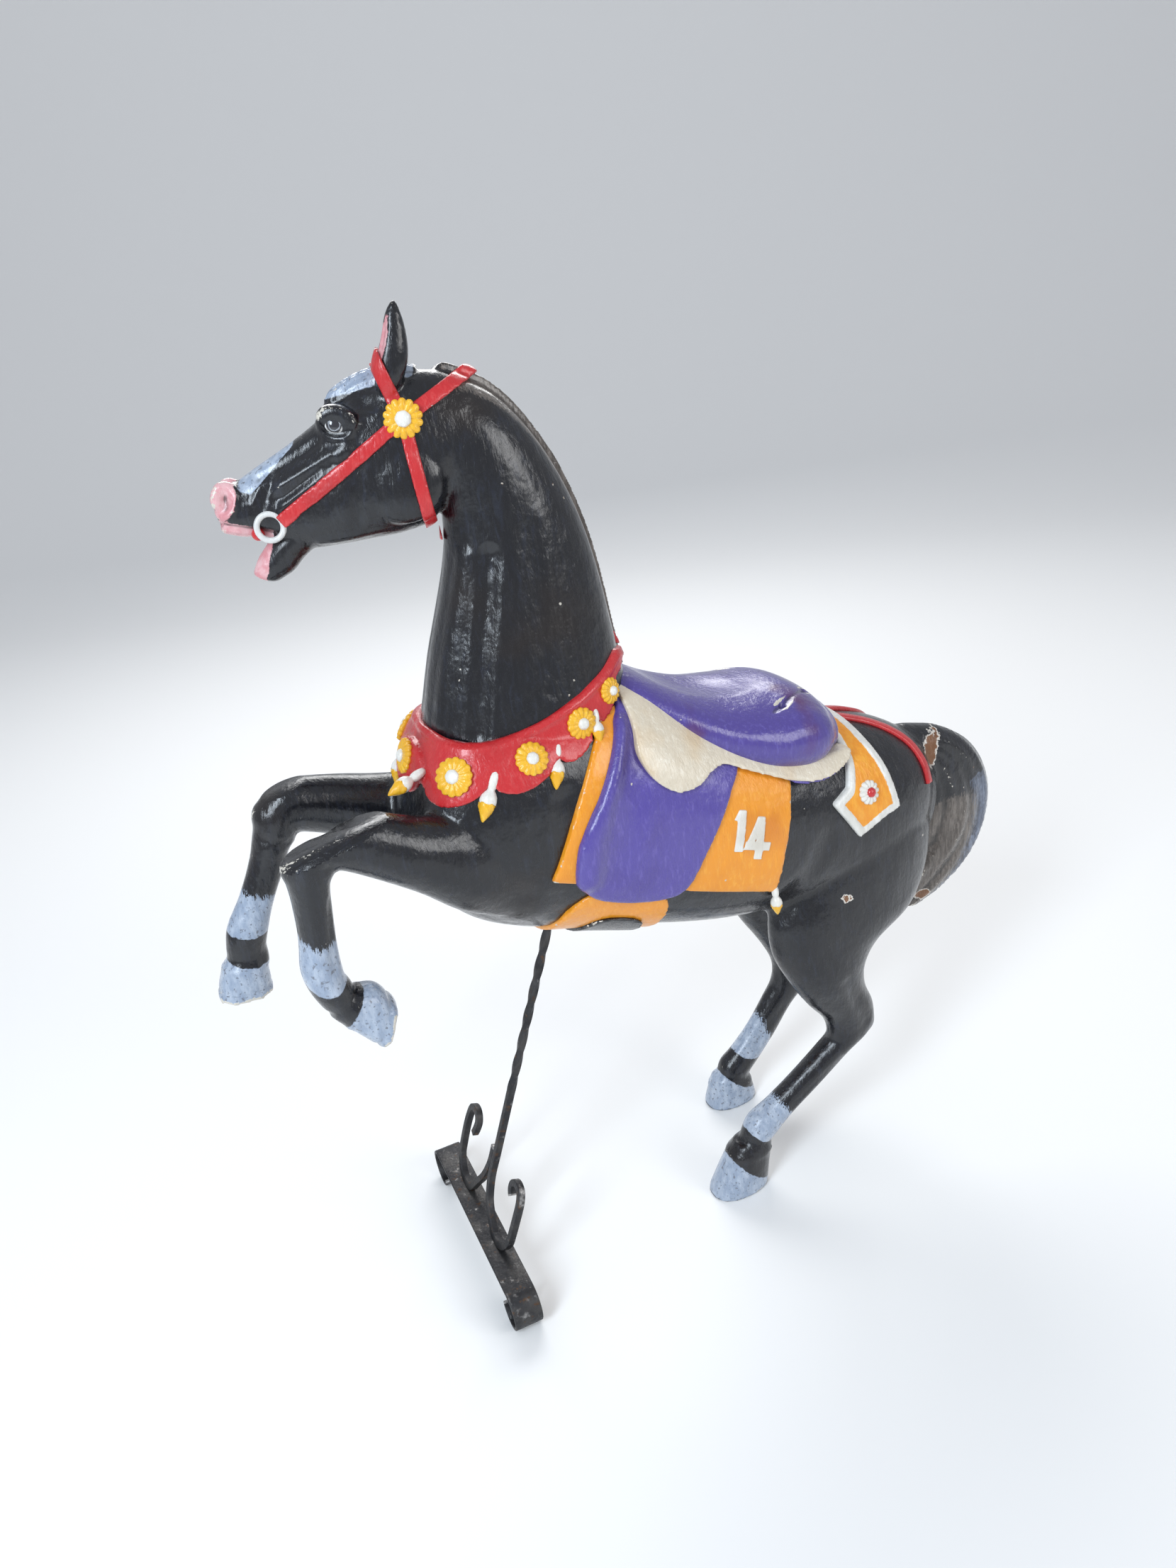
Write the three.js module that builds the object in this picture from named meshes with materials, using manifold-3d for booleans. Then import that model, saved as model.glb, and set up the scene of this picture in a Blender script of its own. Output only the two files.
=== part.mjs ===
// Carousel horse carved in wood, on an iron stand. Millimetres, +Z up, the nose points to -X,
// the near (left) side faces -Y.
import * as THREE from 'three';
import Module from 'manifold-3d';

const wasm = await Module();
wasm.setup();
const { Manifold, Mesh } = wasm;

// ---------------------------------------------------------------- driving sizes
const HEAD_YAW = 17;          // degrees the head turns to the far side
const HEAD_ROOT = [-330, 0];  // where the head plane crosses the middle of the neck
const CLOTH = 7;              // how proud the blanket, collar and croup cloth stand
const FLAP = 13;              // how proud the saddle flap stands
const SKIRT = 20;             // how proud the pale saddle skirt stands
const STRAP = 6;              // how proud the bridle and crupper straps stand
const RAKE = 20;              // degrees the upright leans back, until the hind hooves stand on the ground
const LIFT = 16;              // height of the drawing's ground line on the upright
const ROD = 12;               // side of the square iron bar
const ROD_X = -12;            // where the bar stands
const ROD_TOP = 708;          // length of the bar above the ground line, up into the belly
const ROD_TWIST = 320;        // height where the twist begins
const TWIST_TURNS = 2;
const FIT = 0.4;              // clearance round the bar in the belly
const FOOT_W = 50;            // width of the foot strip along the horse
const FOOT_T = 6;             // its thickness
const FOOT_HALF = 186;        // half its straight length across the horse
const FOOT_TOP = 72;          // height of its upper face
const FLAT = 0.4;             // depth of the small flat worn under each curled foot
const CURL_R = (FOOT_TOP + FLAT - FOOT_T) / 2; // middle radius of the curled feet
const FOOT_X = 5;             // middle of the strip along the horse
const SCROLL_T = 12;          // thickness of the scroll bar
const SLIM = 1.4;             // flat facets closer than this are merged

// ---------------------------------------------------------------- small tools
const rad = (deg) => (deg * Math.PI) / 180;
const lerp = (a, b, t) => a + (b - a) * t;

// Catmull-Rom value between b and c
function spline(a, b, c, d, t) {
  const t2 = t * t;
  const t3 = t2 * t;
  return 0.5 * (2 * b + (c - a) * t + (2 * a - 5 * b + 4 * c - d) * t2 + (3 * b - a - 3 * c + d) * t3);
}

// rows of numbers resampled with `steps` new rows in every gap
function refine(rows, steps) {
  const out = [];
  for (let i = 0; i < rows.length - 1; i += 1) {
    const a = rows[Math.max(i - 1, 0)];
    const d = rows[Math.min(i + 2, rows.length - 1)];
    for (let s = 0; s < steps; s += 1) {
      out.push(rows[i].map((v, k) => spline(a[k], v, rows[i + 1][k], d[k], s / steps)));
    }
  }
  out.push(rows[rows.length - 1]);
  return out;
}

// a closed solid from positions and triangles
function solid(points, faces) {
  const mesh = new Mesh({
    numProp: 3,
    vertProperties: new Float32Array(points.flat()),
    triVerts: new Uint32Array(faces.flat()),
  });
  mesh.merge();
  const body = new Manifold(mesh);
  return body.volume() < 0 ? solid(points, faces.map(([a, b, c]) => [a, c, b])) : body;
}

// rings of points joined to one closed solid, both ends closed on their middle
function skin(rings) {
  const n = rings[0].length;
  const points = rings.flat();
  const faces = [];
  for (let i = 0; i < rings.length - 1; i += 1) {
    for (let k = 0; k < n; k += 1) {
      const a = i * n + k;
      const b = i * n + ((k + 1) % n);
      faces.push([a, b, b + n], [a, b + n, a + n]);
    }
  }
  for (const [start, flip] of [[0, true], [(rings.length - 1) * n, false]]) {
    const mid = [0, 1, 2].map((j) => {
      let sum = 0;
      for (let k = 0; k < n; k += 1) sum += points[start + k][j];
      return sum / n;
    });
    const m = points.push(mid) - 1;
    for (let k = 0; k < n; k += 1) {
      const a = start + k;
      const b = start + ((k + 1) % n);
      faces.push(flip ? [m, b, a] : [m, a, b]);
    }
  }
  return solid(points, faces);
}

// A limb or body seen from the side. Each row gives two outline points and the sideways middle
// and half width: [x1, z1, x2, z2, y, w, squareness]. Rings run from outline 1 to outline 2.
function loft(rows, { around = 20, steps = 2, grow = 0, round = 0.5 } = {}) {
  const fine = refine(rows.map((r) => [...r, ...(r.length < 7 ? [2] : [])]), steps);
  const ends = [];
  const ring = (r, size, shift) => {
    const [x1, z1, x2, z2, y, w, e] = r;
    const half = Math.hypot(x2 - x1, z2 - z1) / 2;
    const ux = (x1 - x2) / (2 * half);
    const uz = (z1 - z2) / (2 * half);
    const pts = [];
    for (let k = 0; k < around; k += 1) {
      const t = (2 * Math.PI * k) / around;
      const c = Math.sign(Math.cos(t)) * Math.abs(Math.cos(t)) ** (2 / e);
      const s = Math.sign(Math.sin(t)) * Math.abs(Math.sin(t)) ** (2 / e);
      const a = s * (half + grow) * size;
      pts.push([
        (x1 + x2) / 2 + ux * a + shift[0],
        y + c * (w + grow) * size,
        (z1 + z2) / 2 + uz * a + shift[1],
      ]);
    }
    return pts;
  };
  const middle = (r) => [(r[0] + r[2]) / 2, (r[1] + r[3]) / 2];
  const cap = (r, next) => {
    const [ax, az] = middle(r);
    const [bx, bz] = middle(next);
    const len = Math.hypot(ax - bx, az - bz) || 1;
    const reach = Math.min(r[5], Math.hypot(r[2] - r[0], r[3] - r[1]) / 2) * round + grow;
    return [0.5, 0.87].map((k) => {
      const size = Math.sqrt(1 - k * k);
      return ring(r, size, [((ax - bx) / len) * reach * k, ((az - bz) / len) * reach * k]);
    });
  };
  const n = fine.length;
  if (round > 0) ends.push(...cap(fine[0], fine[1]).reverse());
  for (const r of fine) ends.push(ring(r, 1, [0, 0]));
  if (round > 0) ends.push(...cap(fine[n - 1], fine[n - 2]));
  return skin(ends);
}

// an outline seen from the side, pushed through from y0 to y1
function prism(outline, y0, y1) {
  const shape = new THREE.Shape(outline.map(([x, z]) => new THREE.Vector2(x, z)));
  const geometry = new THREE.ExtrudeGeometry(shape, { depth: y1 - y0, bevelEnabled: false });
  geometry.rotateX(Math.PI / 2);
  geometry.translate(0, y1, 0);
  return fromGeometry(geometry);
}

// a three.js geometry as a closed solid, with points that coincide joined
function fromGeometry(geometry) {
  const flat = geometry.index ? geometry.toNonIndexed() : geometry;
  const a = flat.getAttribute('position').array;
  const seen = new Map();
  const points = [];
  const ids = [];
  for (let i = 0; i < a.length; i += 3) {
    const p = [a[i], a[i + 1], a[i + 2]];
    const key = p.map((v) => Math.round(v * 500)).join(' ');
    if (!seen.has(key)) seen.set(key, points.push(p) - 1);
    ids.push(seen.get(key));
  }
  const faces = [];
  for (let i = 0; i < ids.length; i += 3) {
    const [p, q, r] = ids.slice(i, i + 3);
    if (p !== q && q !== r && r !== p) faces.push([p, q, r]);
  }
  return solid(points, faces);
}

function ball(rx, ry, rz, at, cols = 12, rowsN = 8) {
  const g = new THREE.SphereGeometry(1, cols, rowsN);
  g.scale(rx, ry, rz);
  g.translate(...at);
  return fromGeometry(g);
}

const all = (list) => Manifold.union(list);
const mirrorY = (body) => body.mirror([0, 1, 0]);
const both = (body) => all([body, mirrorY(body)]);

// ---------------------------------------------------------------- body
// [top x, z, bottom x, z, y, half width, squareness]
const TORSO = [
  [-297, 948, -297, 866, 0, 58, 2],
  [-285, 990, -285, 792, 0, 100, 2.1],
  [-250, 1024, -250, 734, 0, 134, 2.2],
  [-180, 1056, -180, 686, 0, 153, 2.2],
  [-90, 1074, -90, 668, 0, 160, 2.2],
  [10, 1078, 10, 672, 0, 163, 2.2],
  [120, 1056, 120, 674, 0, 165, 2.2],
  [240, 1044, 240, 680, 0, 164, 2.2],
  [350, 1050, 350, 696, 0, 158, 2.2],
  [450, 1060, 450, 716, 0, 149, 2.2],
  [540, 1058, 540, 734, 0, 137, 2.2],
  [610, 1042, 620, 764, 0, 114, 2.2],
  [650, 1012, 665, 804, 0, 82, 2.1],
];
// [throat x, z, crest x, z, y, half width]
const NECK = [
  [-284, 900, 56, 1036, 0, 124],
  [-290, 1000, 10, 1100, 0, 110],
  [-296, 1080, -30, 1174, 0, 97],
  [-297, 1150, -68, 1245, 0, 86],
  [-299, 1212, -109, 1310, 0, 77],
  [-308, 1262, -161, 1373, 0, 68],
  [-322, 1302, -220, 1425, 0, 61],
  [-345, 1330, -281, 1460, 4, 54],
  [-372, 1350, -345, 1472, 10, 47],
];
// head seen in its own plane: u runs to the nose, the second number is the height
const SKULL = [
  [-18, 1466, -18, 1320, 0, 42],
  [24, 1472, -2, 1280, 0, 50, 2.2],
  [66, 1462, 33, 1256, 0, 56, 2.4],
  [110, 1436, 72, 1240, 0, 58, 2.5],
  [147, 1404, 110, 1225, 0, 55, 2.6],
  [178, 1366, 145, 1212, 0, 46, 2.4],
  [207, 1334, 178, 1207, 0, 38, 2.2],
  [236, 1305, 206, 1208, 0, 33, 2.2],
  [256, 1284, 230, 1210, 0, 32, 2.3],
  [274, 1264, 250, 1209, 0, 31, 2.4],
  [280, 1246, 267, 1209, 0, 24, 2.2],
];
const CHIN = [
  [203, 1224, 146, 1216, 0, 27],
  [213, 1203, 162, 1194, 0, 25],
  [222, 1182, 172, 1175, 0, 22],
  [226, 1163, 188, 1159, 0, 17],
];
const EAR = [
  [98, 1428, 72, 1430, -34, 12],
  [105, 1456, 66, 1458, -38, 15],
  [106, 1478, 66, 1480, -40, 14],
  [106, 1500, 71, 1502, -41, 12],
  [104, 1522, 80, 1524, -41, 9],
  [99, 1541, 91, 1542, -41, 4],
];
const FORELOCK = [
  [58, 1472, 60, 1450, 0, 16],
  [94, 1464, 84, 1438, 0, 22],
  [128, 1446, 112, 1420, 0, 23],
  [157, 1419, 136, 1402, 0, 20],
  [165, 1396, 150, 1386, 0, 11],
];

// head plane to world
function headPlace(body) {
  const a = rad(HEAD_YAW);
  const [hx, hy] = HEAD_ROOT;
  return body.warp((v) => {
    const [u, s] = [v[0], v[1]];
    v[0] = hx - u * Math.cos(a) + s * Math.sin(a);
    v[1] = hy + u * Math.sin(a) + s * Math.cos(a);
  });
}
// the head is built mirrored in u, so its faces are turned round again after placing
const headSolid = (body) => headPlace(body.mirror([1, 0, 0]).warp((v) => { v[0] = -v[0]; }));

// [front x, z, rear x, z, y, half width]
const NEAR_FORE = [
  [-150, 880, -60, 730, -66, 56],
  [-205, 888, -150, 722, -92, 56],
  [-262, 882, -222, 734, -106, 53],
  [-330, 882, -300, 768, -114, 47],
  [-405, 890, -385, 794, -116, 40],
  [-458, 888, -425, 802, -116, 38],
  [-500, 850, -426, 792, -116, 37],
  [-497, 800, -428, 780, -116, 35],
  [-478, 750, -418, 738, -116, 29],
  [-460, 692, -402, 680, -116, 27],
  [-450, 640, -384, 632, -116, 31],
  [-432, 606, -370, 612, -116, 31],
  [-408, 578, -362, 604, -116, 27],
];
const NEAR_FORE_HOOF = [
  [-398, 566, -358, 612, -116, 28, 2.2],
  [-362, 543, -334, 615, -116, 33, 2.3],
  [-310, 511, -301, 588, -116, 40, 2.4],
];
const FAR_FORE = [
  [-150, 870, -70, 726, 66, 56],
  [-205, 864, -160, 722, 92, 56],
  [-266, 860, -234, 732, 106, 52],
  [-340, 856, -320, 752, 112, 45],
  [-410, 850, -392, 758, 112, 38],
  [-462, 838, -430, 758, 112, 36],
  [-490, 796, -424, 748, 112, 35],
  [-490, 748, -432, 730, 112, 32],
  [-490, 700, -436, 694, 112, 27],
  [-498, 640, -444, 638, 112, 26],
  [-510, 588, -446, 590, 112, 30],
  [-508, 556, -446, 560, 112, 29],
  [-502, 528, -444, 536, 112, 27],
];
const FAR_FORE_HOOF = [
  [-504, 530, -444, 546, 112, 31, 2.2],
  [-510, 504, -436, 518, 112, 34, 2.3],
  [-510, 460, -424, 484, 112, 39, 2.4],
];
const NEAR_HIND = [
  [385, 860, 660, 900, -74, 62],
  [366, 790, 670, 830, -84, 64],
  [360, 712, 656, 752, -94, 61],
  [384, 640, 598, 690, -102, 55],
  [430, 588, 578, 640, -110, 47],
  [484, 542, 594, 592, -112, 38],
  [534, 508, 630, 548, -112, 33],
  [556, 470, 644, 500, -112, 30],
  [540, 440, 608, 446, -112, 27],
  [502, 384, 562, 376, -112, 26],
  [462, 330, 522, 322, -112, 27],
  [432, 296, 500, 286, -112, 30],
  [426, 262, 488, 262, -112, 27],
];
const NEAR_HIND_HOOF = [
  [418, 248, 490, 256, -112, 31, 2.2],
  [408, 208, 496, 222, -110, 36, 2.3],
  [398, 112, 512, 152, -108, 42, 2.4],
];
const FAR_HIND = [
  [390, 860, 655, 900, 74, 62],
  [380, 790, 664, 830, 82, 64],
  [372, 720, 652, 760, 90, 60],
  [396, 660, 616, 704, 96, 53],
  [450, 606, 610, 652, 102, 46],
  [516, 552, 640, 590, 102, 37],
  [560, 506, 668, 534, 102, 32],
  [574, 462, 662, 478, 102, 29],
  [566, 420, 632, 420, 102, 26],
  [548, 356, 612, 348, 102, 25],
  [524, 300, 590, 290, 102, 27],
  [508, 270, 576, 262, 102, 30],
  [508, 242, 572, 246, 102, 27],
];
const FAR_HIND_HOOF = [
  [502, 238, 576, 246, 102, 32, 2.2],
  [500, 228, 588, 238, 104, 34, 2.3],
  [506, 152, 616, 192, 106, 40, 2.4],
];
// outline of the mane, which lies over the far side of the neck in pointed locks
const MANE_PROUD = 13;
const MANE_LINE = [
  [-352, 1500], [-352, 1440], [-300, 1400], [-264, 1340], [-254, 1288], [-206, 1312], [-190, 1250],
  [-184, 1200], [-140, 1236], [-120, 1172], [-118, 1118], [-80, 1150], [-62, 1096], [-66, 1050],
  [-30, 1080], [0, 1046], [34, 1030], [120, 1050], [60, 1220], [-60, 1380], [-180, 1480], [-270, 1530],
];
// [outer x, z, inner x, z, y, half width]
const TAIL = [
  [612, 1052, 600, 960, 0, 36],
  [690, 1056, 640, 946, 0, 40],
  [760, 1042, 664, 918, 0, 42],
  [818, 1004, 684, 880, 0, 43],
  [858, 946, 694, 840, 0, 43],
  [874, 870, 696, 800, 0, 41],
  [859, 796, 696, 760, 0, 36],
  [824, 734, 700, 722, 0, 28],
  [782, 692, 716, 694, 0, 16],
];

// ---------------------------------------------------------------- trappings
const SEAT = [
  // [top x, z, bottom x, z, y, half width, squareness]
  [-46, 1110, -46, 1056, 0, 40, 2.2],
  [0, 1106, 0, 1036, 0, 80, 2.2],
  [80, 1090, 80, 1006, 0, 114, 2.2],
  [160, 1086, 160, 978, 0, 136, 2.2],
  [235, 1098, 235, 964, 0, 150, 2.2],
  [295, 1112, 295, 964, 0, 151, 2.2],
  [342, 1106, 342, 978, 0, 138, 2.2],
  [380, 1088, 380, 998, 0, 104, 2.1],
];
const FLAP_LINE = [
  [-52, 1104], [-48, 1040], [-54, 947], [-77, 877], [-70, 815], [-32, 776], [30, 767],
  [92, 776], [125, 800], [140, 869], [152, 950], [158, 1010], [100, 1060], [0, 1100],
];
const BLANKET_LINE = [
  [-30, 1090], [-62, 960], [-93, 802], [100, 793], [306, 790], [288, 890], [268, 1000], [200, 1060],
];
const SKIRT_LINE = [
  [-46, 1116], [-26, 1084], [-22, 1043], [-9, 1010], [18, 979], [56, 961], [85, 960],
  [112, 972], [128, 992], [142, 1006], [142, 1050], [40, 1110],
];
const CROUP_LINE = [
  [382, 1090], [410, 1088], [452, 1046], [486, 1008], [528, 944], [472, 893], [398, 940],
  [414, 966], [404, 1010], [392, 1050],
];
// collar: heights against the angle round the chest, 0 at the front
const COLLAR_AXIS = -130;
const COLLAR_TOP = [[0, 984], [38, 990], [72, 1030], [106, 1080], [128, 1112], [150, 1140]];
const COLLAR_JOIN = [[19, 922], [55, 955], [90, 1000], [118, 1052], [140, 1100]];
const COLLAR_DIP = 42;

function lookUp(table, t) {
  let i = 0;
  while (i < table.length - 2 && t > table[i + 1][0]) i += 1;
  const s = (t - table[i][0]) / (table[i + 1][0] - table[i][0]);
  const row = (k) => table[Math.min(Math.max(k, 0), table.length - 1)][1];
  return spline(row(i - 1), row(i), row(i + 1), row(i + 2), Math.min(Math.max(s, 0), 1));
}

function collarBottom(angle) {
  const joins = [[-19, 922], ...COLLAR_JOIN];
  for (let i = 0; i < joins.length - 1; i += 1) {
    if (angle <= joins[i + 1][0]) {
      const s = (angle - joins[i][0]) / (joins[i + 1][0] - joins[i][0]);
      const dip = COLLAR_DIP * (i === 0 ? 1 : 1 - 0.13 * (i - 1));
      return lerp(joins[i][1], joins[i + 1][1], s) - dip * Math.sqrt(Math.max(0, 1 - (2 * s - 1) ** 2));
    }
  }
  return joins[joins.length - 1][1] + (angle - 140) * 1.4;
}

// wedge ring round the neck base between two heights that change with the angle
function fan(low, high, inner, outer) {
  const rings = [];
  const turns = 60;
  for (let i = 0; i < turns; i += 1) {
    const deg = (360 * i) / turns;
    const a = Math.abs(deg > 180 ? deg - 360 : deg);
    const c = -Math.cos(rad(deg));
    const s = -Math.sin(rad(deg));
    const at = (r, z) => [COLLAR_AXIS + r * c, r * s, z];
    rings.push([at(inner, low(a)), at(outer, low(a)), at(outer, high(a)), at(inner, high(a))]);
  }
  const points = rings.flat();
  const faces = [];
  for (let i = 0; i < turns; i += 1) {
    const j = (i + 1) % turns;
    for (let k = 0; k < 4; k += 1) {
      const m = (k + 1) % 4;
      faces.push([4 * i + k, 4 * i + m, 4 * j + m], [4 * i + k, 4 * j + m, 4 * j + k]);
    }
  }
  return solid(points, faces);
}

// small carved ornaments, joined on last
const ornaments = [];

// flower on a disc, its face along +n: a domed disc with a wavy rim and a raised middle
function rosette(at, n, r, petals = 8) {
  const ring = (radius, wave, y) => Array.from({ length: petals * 2 }, (_, k) => {
    const t = (Math.PI * k) / petals;
    const q = radius * (k % 2 ? 1 - wave : 1);
    return [q * Math.cos(t), y, q * Math.sin(t)];
  });
  const body = skin([
    ring(r * 0.8, 0, -6), ring(r, 0.12, 3), ring(r * 0.42, 0.05, 8), ring(r * 0.34, 0, 10),
  ]);
  const q = new THREE.Quaternion().setFromUnitVectors(
    new THREE.Vector3(0, 1, 0), new THREE.Vector3(...n).normalize());
  const m = new THREE.Matrix4().makeRotationFromQuaternion(q).setPosition(...at);
  return body.transform([...m.elements]);
}

// hanging tassel: round head and a pointed drop, lying along `down`
function tassel(at, down, size = 1) {
  const profile = [[0, 0], [8, 6], [5, 15], [10, 26], [10, 40], [0, 62]];
  const g = new THREE.LatheGeometry(profile.map(([r, y]) => new THREE.Vector2(r * size, -y * size)), 6);
  const q = new THREE.Quaternion().setFromUnitVectors(
    new THREE.Vector3(0, -1, 0), new THREE.Vector3(...down).normalize());
  const m = new THREE.Matrix4().makeRotationFromQuaternion(q).setPosition(...at);
  g.applyMatrix4(m);
  return fromGeometry(g);
}

// ---------------------------------------------------------------- put together
function trunk(grow) {
  return all([
    loft(TORSO, { around: 20, steps: 1, grow, round: 0.5 }),
    loft(NECK, { around: 20, steps: 1, grow, round: 0.2 }),
  ]);
}

// where a line through the trunk in direction n from the axis point leaves the surface
function surfacePoint(body, from, dir) {
  let low = 0;
  let high = 400;
  const hit = (d) => {
    const p = from.map((v, k) => v + dir[k] * d);
    const probe = new THREE.SphereGeometry(1, 6, 4);
    probe.translate(...p);
    return body.intersect(fromGeometry(probe)).volume() > 2;
  };
  for (let i = 0; i < 12; i += 1) {
    const mid = (low + high) / 2;
    if (hit(mid)) low = mid;
    else high = mid;
  }
  return from.map((v, k) => v + dir[k] * low);
}

function head() {
  const skull = loft(SKULL, { around: 18, steps: 1, round: 0.35 });
  const chin = loft(CHIN, { around: 12, steps: 1, round: 0.5 });
  const forelock = loft(FORELOCK, { around: 10, steps: 1, round: 0.5 });
  const ear = loft(EAR, { around: 10, steps: 1, round: 0.3 });
  const hollow = ball(9, 10, 27, [95, -51, 1496], 8, 6);
  const brow = ball(25, 15, 16, [139, -44, 1384], 10, 6);
  const eye = ball(12, 12, 10, [143, -52, 1379], 10, 6);
  const cheek = ball(58, 20, 57, [50, -41, 1326], 12, 6);
  const nostril = ball(17, 12, 19, [271, -22, 1256], 10, 6);
  const hole = ball(11, 9, 13, [275, -34, 1257], 8, 4);
  const side = all([ear.subtract(hollow), brow, eye, cheek, nostril]);
  const body = all([skull, chin, forelock, both(side)]).subtract(both(hole));
  return body;
}

const headLocal = head();

function strapPrism(a, b, width) {
  const dx = b[0] - a[0];
  const dz = b[1] - a[1];
  const len = Math.hypot(dx, dz);
  const nx = (-dz / len) * (width / 2);
  const nz = (dx / len) * (width / 2);
  return prism([
    [a[0] + nx, a[1] + nz], [a[0] - nx, a[1] - nz], [b[0] - nx, b[1] - nz], [b[0] + nx, b[1] + nz],
  ], -90, 90);
}

function bridle() {
  const big = all([
    loft(SKULL, { around: 18, steps: 1, grow: STRAP, round: 0.35 }),
    both(ball(58 + STRAP, 20 + STRAP, 57 + STRAP, [50, -41, 1326], 12, 6)),
  ]);
  const hub = [60, 1404];
  const lines = [
    strapPrism(hub, [104, 1462], 19),
    strapPrism(hub, [-22, 1490], 19),
    strapPrism(hub, [196, 1240], 19),
    strapPrism(hub, [-6, 1262], 19),
  ];
  const straps = big.intersect(all(lines));
  const ring = new THREE.TorusGeometry(17, 3.6, 5, 14);
  ring.rotateX(Math.PI / 2);
  ring.translate(209, -39, 1231);
  const knob = ball(7, 7, 7, [222, -38, 1218], 6, 4);
  const trim = all([rosette([60, -60, 1405], [0, -1, 0], 25), fromGeometry(ring), knob]);
  ornaments.push(headSolid(both(trim)));
  return straps;
}

function collar(plain, proud) {
  const band = fan(collarBottom, (a) => lookUp(COLLAR_TOP, a), 88, 240);
  for (const [deg, r] of [[0, 27], [38, 29], [73, 25], [106, 25], [131, 22]]) {
    const z = (lookUp(COLLAR_TOP, deg) * 0.52 + collarBottom(deg) * 0.48);
    for (const side of deg === 0 ? [1] : [1, -1]) {
      const dir = [-Math.cos(rad(deg)), -side * Math.sin(rad(deg)), 0];
      const p = surfacePoint(proud, [COLLAR_AXIS, 0, z], dir);
      ornaments.push(rosette(p, [dir[0], dir[1], 0.25], r));
    }
  }
  for (const [deg, size] of [[19, 0.9], [55, 1.05], [90, 0.95], [118, 0.8]]) {
    const z = collarBottom(deg);
    for (const side of [1, -1]) {
      const dir = [-Math.cos(rad(deg)), -side * Math.sin(rad(deg)), 0];
      const top = surfacePoint(plain, [COLLAR_AXIS, 0, z + 8], dir);
      const low = surfacePoint(plain, [COLLAR_AXIS, 0, z - 46 * size], dir);
      const down = low.map((v, k) => v - top[k]);
      ornaments.push(tassel(top, down, size));
    }
  }
  return proud.intersect(band);
}

function saddle() {
  const torso = (grow) => loft(TORSO, { around: 20, steps: 1, grow, round: 0.5 });
  const seat = loft(SEAT, { around: 16, steps: 1, round: 0.6 });
  const rimRows = SEAT.map(([x1, z1, x2, z2, y, w, e]) => {
    const mid = (z1 + z2) / 2;
    return [x1, mid + 3, x2, mid - 13, y, w + 4, e];
  });
  const rim = loft(rimRows.slice(2), { around: 16, steps: 1, round: 0.6 });
  const tooth = tassel([300, -140, 812], [0.35, 0.1, -1], 0.8);
  ornaments.push(both(tooth));
  const girth = torso(STRAP).intersect(prism([[-42, 752], [-42, 600], [106, 600], [106, 752]], -300, 300));
  const pad = torso(STRAP + 5).intersect(prism([[0, 716], [0, 600], [88, 600], [88, 716]], -300, 300));
  return all([
    torso(CLOTH).intersect(prism(BLANKET_LINE, -300, 300)),
    torso(FLAP).intersect(prism(FLAP_LINE, -300, 300)),
    torso(SKIRT).intersect(prism(SKIRT_LINE, -300, 300)),
    torso(CLOTH).intersect(prism(CROUP_LINE, -300, 300)),
    seat, rim, girth, pad,
  ]);
}

function crupper() {
  const torso = loft(TORSO, { around: 20, steps: 1, grow: STRAP, round: 0.5 });
  const ends = [[395, -8], [505, -26], [585, -48], [640, -70]];
  const left = [];
  const right = [];
  for (const [x, y] of ends) {
    left.push([x, y - 8]);
    right.unshift([x, y + 8]);
  }
  const shape = new THREE.Shape([...left, ...right].map(([x, y]) => new THREE.Vector2(x, y)));
  const g = new THREE.ExtrudeGeometry(shape, { depth: 200, bevelEnabled: false });
  g.translate(0, 0, 960);
  ornaments.push(both(rosette([464, -137, 962], [0.05, -1, 0.4], 17)));
  return both(torso.intersect(fromGeometry(g)));
}

// ---------------------------------------------------------------- iron stand
// square bar swept along a path in the plane x = ROD_X; path points are [y, z]
function barSweep(path, thick, wide, turn = () => 0) {
  const rings = path.map(([y, z], i) => {
    const a = path[Math.max(i - 1, 0)];
    const b = path[Math.min(i + 1, path.length - 1)];
    const len = Math.hypot(b[0] - a[0], b[1] - a[1]);
    const n = [-(b[1] - a[1]) / len, (b[0] - a[0]) / len];
    const t = turn(y, z);
    return [[1, 1], [-1, 1], [-1, -1], [1, -1]].map(([p, q]) => {
      const u = (p * wide * Math.cos(t)) / 2 - (q * thick * Math.sin(t)) / 2;
      const v = (p * wide * Math.sin(t)) / 2 + (q * thick * Math.cos(t)) / 2;
      return [ROD_X + u, y + n[0] * v, z + n[1] * v];
    });
  });
  return skin(rings);
}

const arc = (cy, cz, r, from, to, n, r2 = r) => Array.from({ length: n + 1 }, (_, i) => {
  const t = rad(lerp(from, to, i / n));
  const q = lerp(r, r2, i / n);
  return [cy + q * Math.cos(t), cz + q * Math.sin(t)];
});

function twistedRod() {
  const path = [];
  const steps = 48;
  for (let i = 0; i <= steps; i += 1) path.push([0, lerp(ROD_TOP, ROD_TWIST, i / steps)]);
  path.push([0, 260], [0, 190]);
  path.push(...NEAR_HOOK);
  const turn = (y, z) => {
    if (z < ROD_TWIST || Math.abs(y) > 1) return 0;
    return ((z - ROD_TWIST) / (ROD_TOP - ROD_TWIST)) * 2 * Math.PI * TWIST_TURNS;
  };
  return barSweep(path, ROD, ROD, turn);
}

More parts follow.
